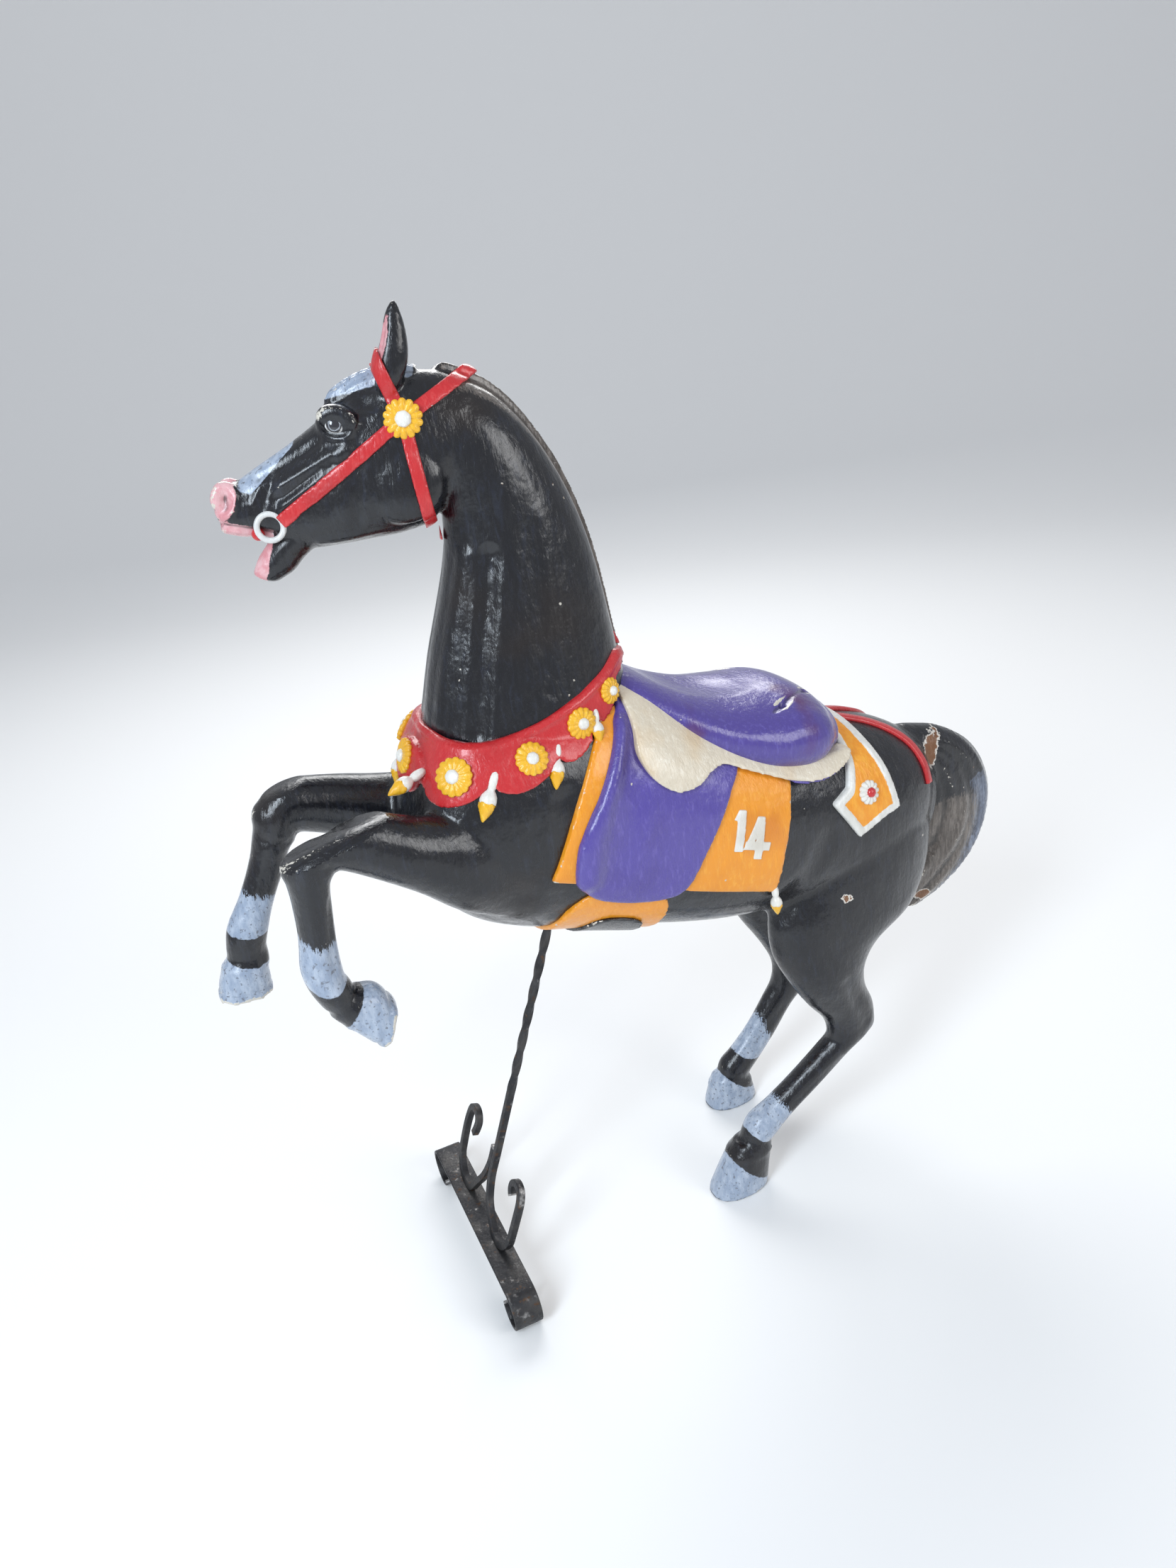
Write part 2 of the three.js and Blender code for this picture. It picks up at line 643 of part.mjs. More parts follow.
// the bar leaves the upright, swings down to the foot and curls up and in on the near side
const BOTTOM = (FOOT_TOP - LIFT + ROD_X * Math.sin(rad(RAKE))) / Math.cos(rad(RAKE)) + 4;
const NEAR_HOOK = [
  [1, 150],
  [-3, 122],
  [-16, 92],
  ...arc(-72, BOTTOM + 46, 46, 308, 188, 9, 46).slice(1),
  [-120, 146],
  [-120, 176],
  ...arc(-98, 180, 22, 168, -50, 8, 15).slice(1),
];
const FAR_SCROLL = [
  [12.4, 196],
  [13.4, 160],
  [26, 122],
  [46, 92],
  ...arc(89, BOTTOM + 48, 48, 222, 350, 9, 48).slice(1),
  [139, 146],
  [136, 178],
  ...arc(112, 182, 23, 10, 190, 8, 17).slice(1),
  [98, 168],
  [102, 158],
];

function strip() {
  const drop = FOOT_TOP - FOOT_T / 2;
  const turn = [
    ...arc(FOOT_HALF, drop - CURL_R, CURL_R, 90, -90, 12),
    ...arc(FOOT_HALF, drop - CURL_R, CURL_R, -90, -160, 5, CURL_R - 5).slice(1),
  ];
  const path = [...turn.map(([y, z]) => [-y, z]).reverse(), ...turn];
  return barSweep(path, FOOT_T, FOOT_W).translate([FOOT_X - ROD_X, 0, 0]).subtract(ground);
}

// ---------------------------------------------------------------- assembly
const plain = trunk(0);
const proud = trunk(CLOTH);
const pocket = prism([
  [ROD_X - 9, 600], [ROD_X + 9, 600], [ROD_X + 9, ROD_TOP + FIT], [ROD_X - 9, ROD_TOP + FIT],
], -9, 9);

const mane = loft(NECK, { around: 20, steps: 1, grow: MANE_PROUD, round: 0.2 })
  .intersect(prism(MANE_LINE, 8, 300));
const ground = prism([[-2000, -500], [2000, -500], [2000, 0], [-2000, 0]], -1000, 1000);
const footTop = prism([[-200, -100], [200, -100], [200, FOOT_TOP + 0.3], [-200, FOOT_TOP + 0.3]], -600, 600);
const lean = (body) => body.rotate([0, RAKE, 0]).translate([0, 0, LIFT]);

const carved = all([
  plain,
  mane,
  headSolid(all([headLocal, bridle()])),
  loft(NEAR_FORE, { around: 12, steps: 1, round: 0.4 }),
  loft(NEAR_FORE_HOOF, { around: 12, steps: 1, round: 0 }),
  loft(FAR_FORE, { around: 12, steps: 1, round: 0.4 }),
  loft(FAR_FORE_HOOF, { around: 12, steps: 1, round: 0 }),
  loft(NEAR_HIND, { around: 12, steps: 1, round: 0.4 }),
  loft(NEAR_HIND_HOOF, { around: 12, steps: 1, round: 0 }),
  loft(FAR_HIND, { around: 12, steps: 1, round: 0.4 }),
  loft(FAR_HIND_HOOF, { around: 12, steps: 1, round: 0 }),
  loft(TAIL, { around: 12, steps: 1, round: 0.4 }),
  collar(plain, proud),
  saddle(),
  crupper(),
]).simplify(SLIM);
const horseBody = lean(all([carved, ...ornaments]).subtract(pocket)).subtract(ground);

const NODES = [
  ['horse', horseBody, 0x1b1d22, 0.35, 0.0],
  ['twisted_rod', lean(twistedRod()).subtract(footTop), 0x3a3b3e, 0.5, 0.9],
  ['side_scroll', lean(barSweep(FAR_SCROLL, SCROLL_T, SCROLL_T)).subtract(footTop), 0x3a3b3e, 0.5, 0.9],
  ['foot_bar', strip(), 0x2f3032, 0.55, 0.9],
];

// the drawing origin goes to the middle of the footprint, on the ground
const box = new THREE.Box3();
const meshes = NODES.map(([name, body, color, roughness, metalness]) => {
  const clean = body.simplify(0.2);
  const parts = clean.decompose();
  if (parts.length > 1) {
    console.error(`${name}: ${parts.length} bodies`, parts.map((p) => p.volume().toFixed(1)).join(' '));
  }
  const m = clean.getMesh();
  const g = new THREE.BufferGeometry();
  g.setAttribute('position', new THREE.BufferAttribute(new Float32Array(m.vertProperties), 3));
  g.setIndex(new THREE.BufferAttribute(new Uint32Array(m.triVerts), 1));
  const mesh = new THREE.Mesh(g, new THREE.MeshStandardMaterial({ color, roughness, metalness, name }));
  mesh.name = name;
  g.computeBoundingBox();
  box.union(g.boundingBox);
  return mesh;
});
const middle = box.getCenter(new THREE.Vector3());
const group = new THREE.Group();
group.name = 'carousel_horse';
for (const mesh of meshes) {
  mesh.geometry.translate(-middle.x, -middle.y, -box.min.z);
  mesh.geometry.computeVertexNormals();
  group.add(mesh);
}
console.error('shift', [-middle.x, -middle.y, -box.min.z].map((v) => v.toFixed(2)).join(' '));
for (const mesh of meshes) console.error(mesh.name, mesh.geometry.index.count / 3);

export default group;
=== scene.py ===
import math

import bmesh
import bpy
import numpy as np
from mathutils import Matrix, Vector


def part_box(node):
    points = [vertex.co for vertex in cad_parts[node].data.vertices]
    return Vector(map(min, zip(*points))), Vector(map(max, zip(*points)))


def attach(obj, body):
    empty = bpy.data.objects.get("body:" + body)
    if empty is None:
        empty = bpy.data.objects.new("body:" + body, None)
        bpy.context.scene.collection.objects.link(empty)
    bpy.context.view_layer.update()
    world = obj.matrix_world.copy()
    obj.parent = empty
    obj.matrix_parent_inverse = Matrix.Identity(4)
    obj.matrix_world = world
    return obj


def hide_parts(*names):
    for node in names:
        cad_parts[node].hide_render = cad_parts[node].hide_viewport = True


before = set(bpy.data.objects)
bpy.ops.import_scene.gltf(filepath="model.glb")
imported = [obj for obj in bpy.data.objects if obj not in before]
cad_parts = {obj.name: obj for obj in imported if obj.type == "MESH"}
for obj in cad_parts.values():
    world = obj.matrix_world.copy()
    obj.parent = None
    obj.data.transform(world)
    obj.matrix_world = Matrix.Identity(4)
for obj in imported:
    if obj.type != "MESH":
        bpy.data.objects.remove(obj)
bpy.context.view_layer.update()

C = bpy.context

# ---------------------------------------------------------------- frame of the carving
# The horse is drawn upright in millimetres, nose to -X, near side -Y, then leans back with its rod.
RAKE = math.radians(20)
LIFT = 16
HEAD_YAW = math.radians(17)
HEAD_ROOT = (-330, 0)
FOOT_X = 5
ROD_X = -12
foot_low, foot_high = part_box("foot_bar")
SHIFT = (foot_low.x + foot_high.x) * 500 - FOOT_X


def to_part(p):
    """drawing points in mm to the row frame in metres"""
    c, s = math.cos(RAKE), math.sin(RAKE)
    x, y, z = p[:, 0], p[:, 1], p[:, 2]
    return np.stack([x * c + z * s + SHIFT, y, -x * s + z * c + LIFT], 1) / 1000


def head_out(p):
    """head frame (u to the nose, s sideways, height) to the drawing"""
    c, s = math.cos(HEAD_YAW), math.sin(HEAD_YAW)
    return np.stack([HEAD_ROOT[0] - p[:, 0] * c + p[:, 1] * s, p[:, 0] * s + p[:, 1] * c, p[:, 2]], 1)


def head_in(p):
    c, s = math.cos(HEAD_YAW), math.sin(HEAD_YAW)
    dx = p[:, 0] - HEAD_ROOT[0]
    return np.stack([-dx * c + p[:, 1] * s, dx * s + p[:, 1] * c, p[:, 2]], 1)


# ---------------------------------------------------------------- tables, as in the CAD part
# [top x, z, bottom x, z, y, half width, squareness]
TORSO = [
    [-297, 948, -297, 866, 0, 58, 2], [-285, 990, -285, 792, 0, 100, 2.1],
    [-250, 1024, -250, 734, 0, 134, 2.2], [-180, 1056, -180, 686, 0, 153, 2.2],
    [-90, 1074, -90, 668, 0, 160, 2.2], [10, 1078, 10, 672, 0, 163, 2.2],
    [120, 1056, 120, 674, 0, 165, 2.2], [240, 1044, 240, 680, 0, 164, 2.2],
    [350, 1050, 350, 696, 0, 158, 2.2], [450, 1060, 450, 716, 0, 149, 2.2],
    [540, 1058, 540, 734, 0, 137, 2.2], [610, 1042, 620, 764, 0, 114, 2.2],
    [650, 1012, 665, 804, 0, 82, 2.1],
]
NECK = [
    [-284, 900, 56, 1036, 0, 124], [-290, 1000, 10, 1100, 0, 110],
    [-296, 1080, -30, 1174, 0, 97], [-297, 1150, -68, 1245, 0, 86],
    [-299, 1212, -109, 1310, 0, 77], [-308, 1262, -161, 1373, 0, 68],
    [-322, 1302, -220, 1425, 0, 61], [-345, 1330, -281, 1460, 4, 54],
    [-372, 1350, -345, 1472, 10, 47],
]
SKULL = [
    [-18, 1466, -18, 1320, 0, 42, 2], [24, 1472, -2, 1280, 0, 50, 2.2],
    [66, 1462, 33, 1256, 0, 56, 2.4], [110, 1436, 72, 1240, 0, 58, 2.5],
    [147, 1404, 110, 1225, 0, 55, 2.6], [178, 1366, 145, 1212, 0, 46, 2.4],
    [207, 1334, 178, 1207, 0, 38, 2.2], [236, 1305, 206, 1208, 0, 33, 2.2],
    [256, 1284, 230, 1210, 0, 32, 2.3], [274, 1264, 250, 1209, 0, 31, 2.4],
    [280, 1246, 267, 1209, 0, 24, 2.2],
]
CHIN = [
    [203, 1224, 146, 1216, 0, 27], [213, 1203, 162, 1194, 0, 25],
    [222, 1182, 172, 1175, 0, 22], [226, 1163, 188, 1159, 0, 17],
]
EAR = [
    [98, 1428, 72, 1430, -34, 12], [105, 1456, 66, 1458, -38, 15],
    [106, 1478, 66, 1480, -40, 14], [106, 1500, 71, 1502, -41, 12],
    [104, 1522, 80, 1524, -41, 9], [99, 1541, 91, 1542, -41, 4],
]
FORELOCK = [
    [58, 1472, 60, 1450, 0, 16], [94, 1464, 84, 1438, 0, 22],
    [128, 1446, 112, 1420, 0, 23], [157, 1419, 136, 1402, 0, 20],
    [165, 1396, 150, 1386, 0, 11],
]
NEAR_FORE = [
    [-150, 880, -60, 730, -66, 56], [-205, 888, -150, 722, -92, 56],
    [-262, 882, -222, 734, -106, 53], [-330, 882, -300, 768, -114, 47],
    [-405, 890, -385, 794, -116, 40], [-458, 888, -425, 802, -116, 38],
    [-500, 850, -426, 792, -116, 37], [-497, 800, -428, 780, -116, 35],
    [-478, 750, -418, 738, -116, 29], [-460, 692, -402, 680, -116, 27],
    [-450, 640, -384, 632, -116, 31], [-432, 606, -370, 612, -116, 31],
    [-408, 578, -362, 604, -116, 27],
]
NEAR_FORE_HOOF = [
    [-398, 566, -358, 612, -116, 28, 2.2], [-362, 543, -334, 615, -116, 33, 2.3],
    [-310, 511, -301, 588, -116, 40, 2.4],
]
FAR_FORE = [
    [-150, 870, -70, 726, 66, 56], [-205, 864, -160, 722, 92, 56],
    [-266, 860, -234, 732, 106, 52], [-340, 856, -320, 752, 112, 45],
    [-410, 850, -392, 758, 112, 38], [-462, 838, -430, 758, 112, 36],
    [-490, 796, -424, 748, 112, 35], [-490, 748, -432, 730, 112, 32],
    [-490, 700, -436, 694, 112, 27], [-498, 640, -444, 638, 112, 26],
    [-510, 588, -446, 590, 112, 30], [-508, 556, -446, 560, 112, 29],
    [-502, 528, -444, 536, 112, 27],
]
FAR_FORE_HOOF = [
    [-504, 530, -444, 546, 112, 31, 2.2], [-510, 504, -436, 518, 112, 34, 2.3],
    [-510, 460, -424, 484, 112, 39, 2.4],
]
NEAR_HIND = [
    [385, 860, 660, 900, -74, 62], [366, 790, 670, 830, -84, 64],
    [360, 712, 656, 752, -94, 61], [384, 640, 598, 690, -102, 55],
    [430, 588, 578, 640, -110, 47], [484, 542, 594, 592, -112, 38],
    [534, 508, 630, 548, -112, 33], [556, 470, 644, 500, -112, 30],
    [540, 440, 608, 446, -112, 27], [502, 384, 562, 376, -112, 26],
    [462, 330, 522, 322, -112, 27], [432, 296, 500, 286, -112, 30],
    [426, 262, 488, 262, -112, 27],
]
NEAR_HIND_HOOF = [
    [418, 248, 490, 256, -112, 31, 2.2], [408, 208, 496, 222, -110, 36, 2.3],
    [398, 112, 512, 152, -108, 42, 2.4],
]
FAR_HIND = [
    [390, 860, 655, 900, 74, 62], [380, 790, 664, 830, 82, 64],
    [372, 720, 652, 760, 90, 60], [396, 660, 616, 704, 96, 53],
    [450, 606, 610, 652, 102, 46], [516, 552, 640, 590, 102, 37],
    [560, 506, 668, 534, 102, 32], [574, 462, 662, 478, 102, 29],
    [566, 420, 632, 420, 102, 26], [548, 356, 612, 348, 102, 25],
    [524, 300, 590, 290, 102, 27], [508, 270, 576, 262, 102, 30],
    [508, 242, 572, 246, 102, 27],
]
FAR_HIND_HOOF = [
    [502, 238, 576, 246, 102, 32, 2.2], [500, 228, 588, 238, 104, 34, 2.3],
    [506, 152, 616, 192, 106, 40, 2.4],
]
TAIL = [
    [612, 1052, 600, 960, 0, 36], [690, 1056, 640, 946, 0, 40],
    [760, 1042, 664, 918, 0, 42], [818, 1004, 684, 880, 0, 43],
    [858, 946, 694, 840, 0, 43], [874, 870, 696, 800, 0, 41],
    [859, 796, 696, 760, 0, 36], [824, 734, 700, 722, 0, 28],
    [782, 692, 716, 694, 0, 16],
]
SEAT = [
    [-46, 1110, -46, 1056, 0, 40, 2.2], [0, 1106, 0, 1036, 0, 80, 2.2],
    [80, 1090, 80, 1006, 0, 114, 2.2], [160, 1086, 160, 978, 0, 136, 2.2],
    [235, 1098, 235, 964, 0, 150, 2.2], [295, 1112, 295, 964, 0, 151, 2.2],
    [342, 1106, 342, 978, 0, 138, 2.2], [380, 1088, 380, 998, 0, 104, 2.1],
]
# outlines seen from the side, in order; the second list names the corners that stay sharp
FLAP_LINE = [
    [-46, 1108], [-32, 1050], [-54, 947], [-77, 877], [-70, 815], [-32, 776], [30, 767],
    [92, 776], [125, 800], [140, 869], [165, 955], [178, 1010], [100, 1070], [0, 1104],
]
BLANKET_LINE = [
    [-44, 1094], [-88, 960], [-106, 802], [100, 793], [306, 788], [294, 870], [286, 960],
    [280, 1030], [200, 1080],
]
SKIRT_LINE = [
    [-40, 1112], [-22, 1070], [-14, 1037], [-8, 1006], [16, 978], [49, 962], [76, 961],
    [104, 973], [126, 992], [150, 1000], [190, 994], [240, 987], [294, 982], [350, 990],
    [396, 1016], [402, 1034], [342, 1018], [275, 1006], [222, 1007], [165, 1026],
    [120, 1046], [55, 1071], [0, 1092],
]
CROUP_LINE = [
    [382, 1090], [410, 1088], [452, 1046], [486, 1008], [524, 946], [492, 928], [447, 893],
    [416, 916], [376, 945], [403, 971], [404, 1010], [392, 1050],
]
LIP_LINE = [
    [232, 990], [262, 984], [300, 978], [350, 986], [390, 1008], [404, 1030], [340, 1010],
    [275, 996],
]
COLLAR_AXIS = -130
COLLAR_TOP = [[0, 984], [38, 990], [72, 1030], [106, 1080], [128, 1112], [150, 1140]]
COLLAR_JOIN = [[19, 922], [55, 955], [90, 1000], [118, 1052], [140, 1100]]
COLLAR_DIP = 42
CLOTH, FLAP, SKIRT, STRAP = 7, 13, 20, 6
MANE_PROUD = 13
ROD, ROD_TOP, ROD_TWIST, TWIST_TURNS = 12, 708, 320, 2
FOOT_W, FOOT_T, FOOT_HALF, FOOT_TOP = 50, 6, 186, 72
CURL_R = (FOOT_TOP + 0.4 - FOOT_T) / 2
MANE_LINE = [
    [-352, 1500], [-352, 1440], [-300, 1400], [-264, 1340], [-254, 1288], [-206, 1312],
    [-190, 1250], [-184, 1200], [-140, 1236], [-120, 1172], [-118, 1118], [-80, 1150],
    [-62, 1096], [-66, 1050], [-30, 1080], [0, 1046], [34, 1030], [120, 1050], [60, 1220],
    [-60, 1380], [-180, 1480], [-270, 1530],
]


# ---------------------------------------------------------------- mesh tools
def spline(a, b, c, d, t):
    t2 = t * t
    t3 = t2 * t
    return 0.5 * (2 * b + (c - a) * t + (2 * a - 5 * b + 4 * c - d) * t2 + (3 * b - a - 3 * c + d) * t3)


def refine(rows, steps, closed=False):
    rows = np.array(rows, float)
    n = len(rows)
    out = []
    for i in range(n if closed else n - 1):
        pick = (lambda k: rows[k % n]) if closed else (lambda k: rows[min(max(k, 0), n - 1)])
        for k in range(steps):
            out.append(spline(pick(i - 1), pick(i), pick(i + 1), pick(i + 2), k / steps))
    if not closed:
        out.append(rows[-1])
    return np.array(out)


def skin(rings):
    """rings of points (n, k, 3) as one closed mesh"""
    rings = np.array(rings)
    n, k, _ = rings.shape
    verts = rings.reshape(-1, 3)
    faces = []
    for i in range(n - 1):
        for j in range(k):
            a, b = i * k + j, i * k + (j + 1) % k
            faces.append((a, b, b + k, a + k))
    verts = np.vstack([verts, rings[0].mean(0), rings[-1].mean(0)])
    m0, m1 = n * k, n * k + 1
    for j in range(k):
        faces.append((m0, (j + 1) % k, j))
        faces.append((m1, (n - 1) * k + j, (n - 1) * k + (j + 1) % k))
    return verts, faces


def loft(rows, around=56, steps=6, grow=0, round_=0.5):
    full = [list(r) + [2] * (7 - len(r)) for r in rows]
    fine = refine(full, steps)
    t = 2 * np.pi * np.arange(around) / around

    def ring(r, size=1, shift=(0, 0)):
        x1, z1, x2, z2, y, w, e = r
        half = math.hypot(x2 - x1, z2 - z1) / 2
        ux, uz = (x1 - x2) / (2 * half), (z1 - z2) / (2 * half)
        c = np.sign(np.cos(t)) * np.abs(np.cos(t)) ** (2 / e)
        s = np.sign(np.sin(t)) * np.abs(np.sin(t)) ** (2 / e)
        a = s * (half + grow) * size
        return np.stack([(x1 + x2) / 2 + ux * a + shift[0], y + c * (w + grow) * size,
                         (z1 + z2) / 2 + uz * a + shift[1]], 1)

    def cap(r, nxt):
        ax, az = (r[0] + r[2]) / 2, (r[1] + r[3]) / 2
        bx, bz = (nxt[0] + nxt[2]) / 2, (nxt[1] + nxt[3]) / 2
        d = math.hypot(ax - bx, az - bz) or 1
        reach = min(r[5], math.hypot(r[2] - r[0], r[3] - r[1]) / 2) * round_ + grow
        return [ring(r, math.sqrt(1 - k * k), ((ax - bx) / d * reach * k, (az - bz) / d * reach * k))
                for k in (0.25, 0.5, 0.7, 0.87, 0.96)]

    rings = [ring(r) for r in fine]
    if round_ > 0:
        rings = cap(fine[0], fine[1])[::-1] + rings + cap(fine[-1], fine[-2])
    return skin(rings)


def make(name, verts, faces):
    me = bpy.data.meshes.new(name)
    me.from_pydata([tuple(v) for v in np.asarray(verts, float)], [], faces)
    bm = bmesh.new()
    bm.from_mesh(me)
    bmesh.ops.recalc_face_normals(bm, faces=bm.faces)
    bm.to_mesh(me)
    bm.free()
    ob = bpy.data.objects.new(name, me)
    C.scene.collection.objects.link(ob)
    return ob


def bake(ob):
    """modifiers applied to the mesh"""
    dg = C.evaluated_depsgraph_get()
    me = bpy.data.meshes.new_from_object(ob.evaluated_get(dg))
    old = ob.data
    ob.modifiers.clear()
    ob.data = me
    bpy.data.meshes.remove(old)
    return ob


def drop(*obs):
    for o in obs:
        bpy.data.objects.remove(o)


def join(name, obs):
    verts, faces, base = [], [], 0
    for o in obs:
        co = coords(o)
        verts.append(co)
        faces += [tuple(i + base for i in p.vertices) for p in o.data.polygons]
        base += len(co)
    drop(*obs)
    return make(name, np.vstack(verts), faces)


def coords(ob):
    a = np.empty(len(ob.data.vertices) * 3)
    ob.data.vertices.foreach_get("co", a)
    return a.reshape(-1, 3)


def set_coords(ob, p):
    ob.data.vertices.foreach_set("co", np.asarray(p, float).ravel())
    ob.data.update()


def normals(ob):
    a = np.empty(len(ob.data.vertices) * 3, np.float32)
    ob.data.vertex_normals.foreach_get("vector", a)
    return a.reshape(-1, 3).astype(float)


def boolean(ob, other, op="INTERSECT", keep=False):
    m = ob.modifiers.new("b", "BOOLEAN")
    m.operation = op
    m.solver = "MANIFOLD"
    m.object = other
    bake(ob)
    if not keep:
        drop(other)
    return ob


def remesh(ob, voxel, smooth=0, factor=0.5):
    m = ob.modifiers.new("r", "REMESH")
    m.mode = "VOXEL"
    m.voxel_size = voxel
    m.use_smooth_shade = True
    bake(ob)
    if smooth:
        s = ob.modifiers.new("s", "SMOOTH")
        s.iterations = smooth
        s.factor = factor
        bake(ob)
    return ob


def slice_off(ob, point, normal):
    bm = bmesh.new()
    bm.from_mesh(ob.data)
    geom = bm.verts[:] + bm.edges[:] + bm.faces[:]
    cut = bmesh.ops.bisect_plane(bm, geom=geom, plane_co=point, plane_no=normal, clear_outer=True)
    edges = [e for e in cut["geom_cut"] if isinstance(e, bmesh.types.BMEdge)]
    bmesh.ops.holes_fill(bm, edges=edges)
    bm.to_mesh(ob.data)
    bm.free()
    return ob


def prism(name, outline, y0, y1, steps=1, corners=()):
    """outline seen from the side pushed through from y0 to y1; between corners it runs in smooth curves"""
    pts = np.array(outline, float)
    if steps > 1:
        pts = soft_line(pts, steps, corners)
    n = len(pts)
    low = np.stack([pts[:, 0], np.full(n, y0), pts[:, 1]], 1)
    high = np.stack([pts[:, 0], np.full(n, y1), pts[:, 1]], 1)
    faces = [(i, (i + 1) % n, n + (i + 1) % n, n + i) for i in range(n)]
    faces += [tuple(range(n))[::-1], tuple(range(n, 2 * n))]
    ob = make(name, np.vstack([low, high]), faces)
    bm = bmesh.new()
    bm.from_mesh(ob.data)
    bmesh.ops.triangulate(bm, faces=[f for f in bm.faces if len(f.verts) > 4])
    bm.to_mesh(ob.data)
    bm.free()
    return ob


def soft_line(pts, steps, corners=()):
    """closed line through the points, smooth but for the corners"""
    n = len(pts)
    out = []
    for i in range(n):
        b, c = pts[i], pts[(i + 1) % n]
        a = 2 * b - c if i in corners else pts[i - 1]
        d = 2 * c - b if (i + 1) % n in corners else pts[(i + 2) % n]
        for k in range(steps):
            out.append(spline(a, b, c, d, k / steps))
    return np.array(out)


def lookup(table, t):
    i = 0
    while i < len(table) - 2 and t > table[i + 1][0]:
        i += 1
    s = (t - table[i][0]) / (table[i + 1][0] - table[i][0])
    row = lambda k: table[min(max(k, 0), len(table) - 1)][1]
    return spline(row(i - 1), row(i), row(i + 1), row(i + 2), min(max(s, 0), 1))


def collar_top(angle):
    return lookup(COLLAR_TOP, angle)


def collar_bottom(angle):
    joins = [[-19, 922]] + COLLAR_JOIN
    for i in range(len(joins) - 1):
        if angle <= joins[i + 1][0]:
            s = (angle - joins[i][0]) / (joins[i + 1][0] - joins[i][0])
            dip = COLLAR_DIP * (1 if i == 0 else 1 - 0.13 * (i - 1))
            z = joins[i][1] + (joins[i + 1][1] - joins[i][1]) * s
            return z - dip * math.sqrt(max(0, 1 - (2 * s - 1) ** 2))
    return joins[-1][1] + (angle - 140) * 1.4


def fan(low, high, inner, outer, turns=360):
    rings = []
    for i in range(turns):
        deg = 360 * i / turns
        a = abs(deg - 360 if deg > 180 else deg)
        c, s = -math.cos(math.radians(deg)), -math.sin(math.radians(deg))
        at = lambda r, z: (COLLAR_AXIS + r * c, r * s, z)
        rings.append([at(inner, low(a)), at(outer, low(a)), at(outer, high(a)), at(inner, high(a))])
    verts = np.array(rings).reshape(-1, 3)
    faces = []
    for i in range(turns):
        j = (i + 1) % turns
        for k in range(4):
            m = (k + 1) % 4
            faces.append((4 * i + k, 4 * i + m, 4 * j + m, 4 * j + k))
    return make("fan", verts, faces)


def falloff(d):
    """1 at the middle to 0 at distance 1, smooth"""
    d = np.clip(d, 0, 1)
    return (1 - d * d) ** 2


def ellipsoid(p, centre, radii):
    return np.sqrt((((p - np.array(centre)) / np.array(radii)) ** 2).sum(1))


def ridge(p, a, b, width, ends=0.25):
    """1 on the line a-b, 0 at `width` from it"""
    a, b = np.array(a, float), np.array(b, float)
    d = b - a
    t = np.clip(((p - a) @ d) / (d @ d), 0, 1)
    q = np.linalg.norm(p - (a + t[:, None] * d), axis=1)
    return falloff(q / width)


def inflate(ob, d, name="inflated"):
    """a copy moved out along its normals"""
    new = ob.copy()
    new.data = ob.data.copy()
    new.name = name
    C.scene.collection.objects.link(new)
    set_coords(new, coords(ob) + normals(ob) * d)
    return new


def line_distance(p, a, b):
    """distance in the side view from points p (n, 2) to the segment a-b"""
    a, b = np.array(a, float), np.array(b, float)
    d = b - a
    t = np.clip(((p - a) @ d) / (d @ d), 0, 1)
    return np.linalg.norm(p - (a + t[:, None] * d), axis=1)


def polygon_distance(p, poly):
    """signed distance in the side view, negative inside"""
    poly = np.array(poly, float)
    dist = np.full(len(p), 1e9)
    inside = np.zeros(len(p), bool)
    for i in range(len(poly)):
        a, b = poly[i - 1], poly[i]
        dist = np.minimum(dist, line_distance(p, a, b))
        cross = (a[1] > p[:, 1]) != (b[1] > p[:, 1])
        dz = b[1] - a[1] if b[1] != a[1] else 1e-9
        x = a[0] + (p[:, 1] - a[1]) * (b[0] - a[0]) / dz
        inside ^= cross & (p[:, 0] < x)
    return np.where(inside, -dist, dist)


def border(p, a, b, sag=0):
    """how far above the line a-b points are, seen from the side; sag drops the line in its middle"""
    a, b = np.array(a, float), np.array(b, float)
    d = b - a
    t = ((p - a) @ d) / (d @ d)
    n = np.array([-d[1], d[0]]) / np.linalg.norm(d)
    return (p - a) @ n + sag * np.clip(1 - (2 * t - 1) ** 2, -0.5, 1)


def give(ob, name, values):
    a = ob.data.attributes.new(name, "FLOAT", "POINT")
    a.data.foreach_set("value", np.asarray(values, np.float32))


def curvature(ob, rounds=3):
    """how far each point stands out from its neighbours, smoothed: edges above 0, grooves below"""
    me = ob.data
    e = np.empty(len(me.edges) * 2, np.int32)
    me.edges.foreach_get("vertices", e)
    e = e.reshape(-1, 2)
    p, n = coords(ob), normals(ob)
    count = np.zeros(len(p))
    np.add.at(count, e[:, 0], 1)
    np.add.at(count, e[:, 1], 1)
    count = np.maximum(count, 1)

    def spread(v):
        s = np.zeros_like(v)
        np.add.at(s, e[:, 0], v[e[:, 1]])
        np.add.at(s, e[:, 1], v[e[:, 0]])
        return s / (count[:, None] if v.ndim > 1 else count)

    c = ((p - spread(p)) * n).sum(1)
    for _ in range(rounds):
        c = 0.5 * c + 0.5 * spread(c)
    return c / max(1e-9, np.percentile(np.abs(c), 97))


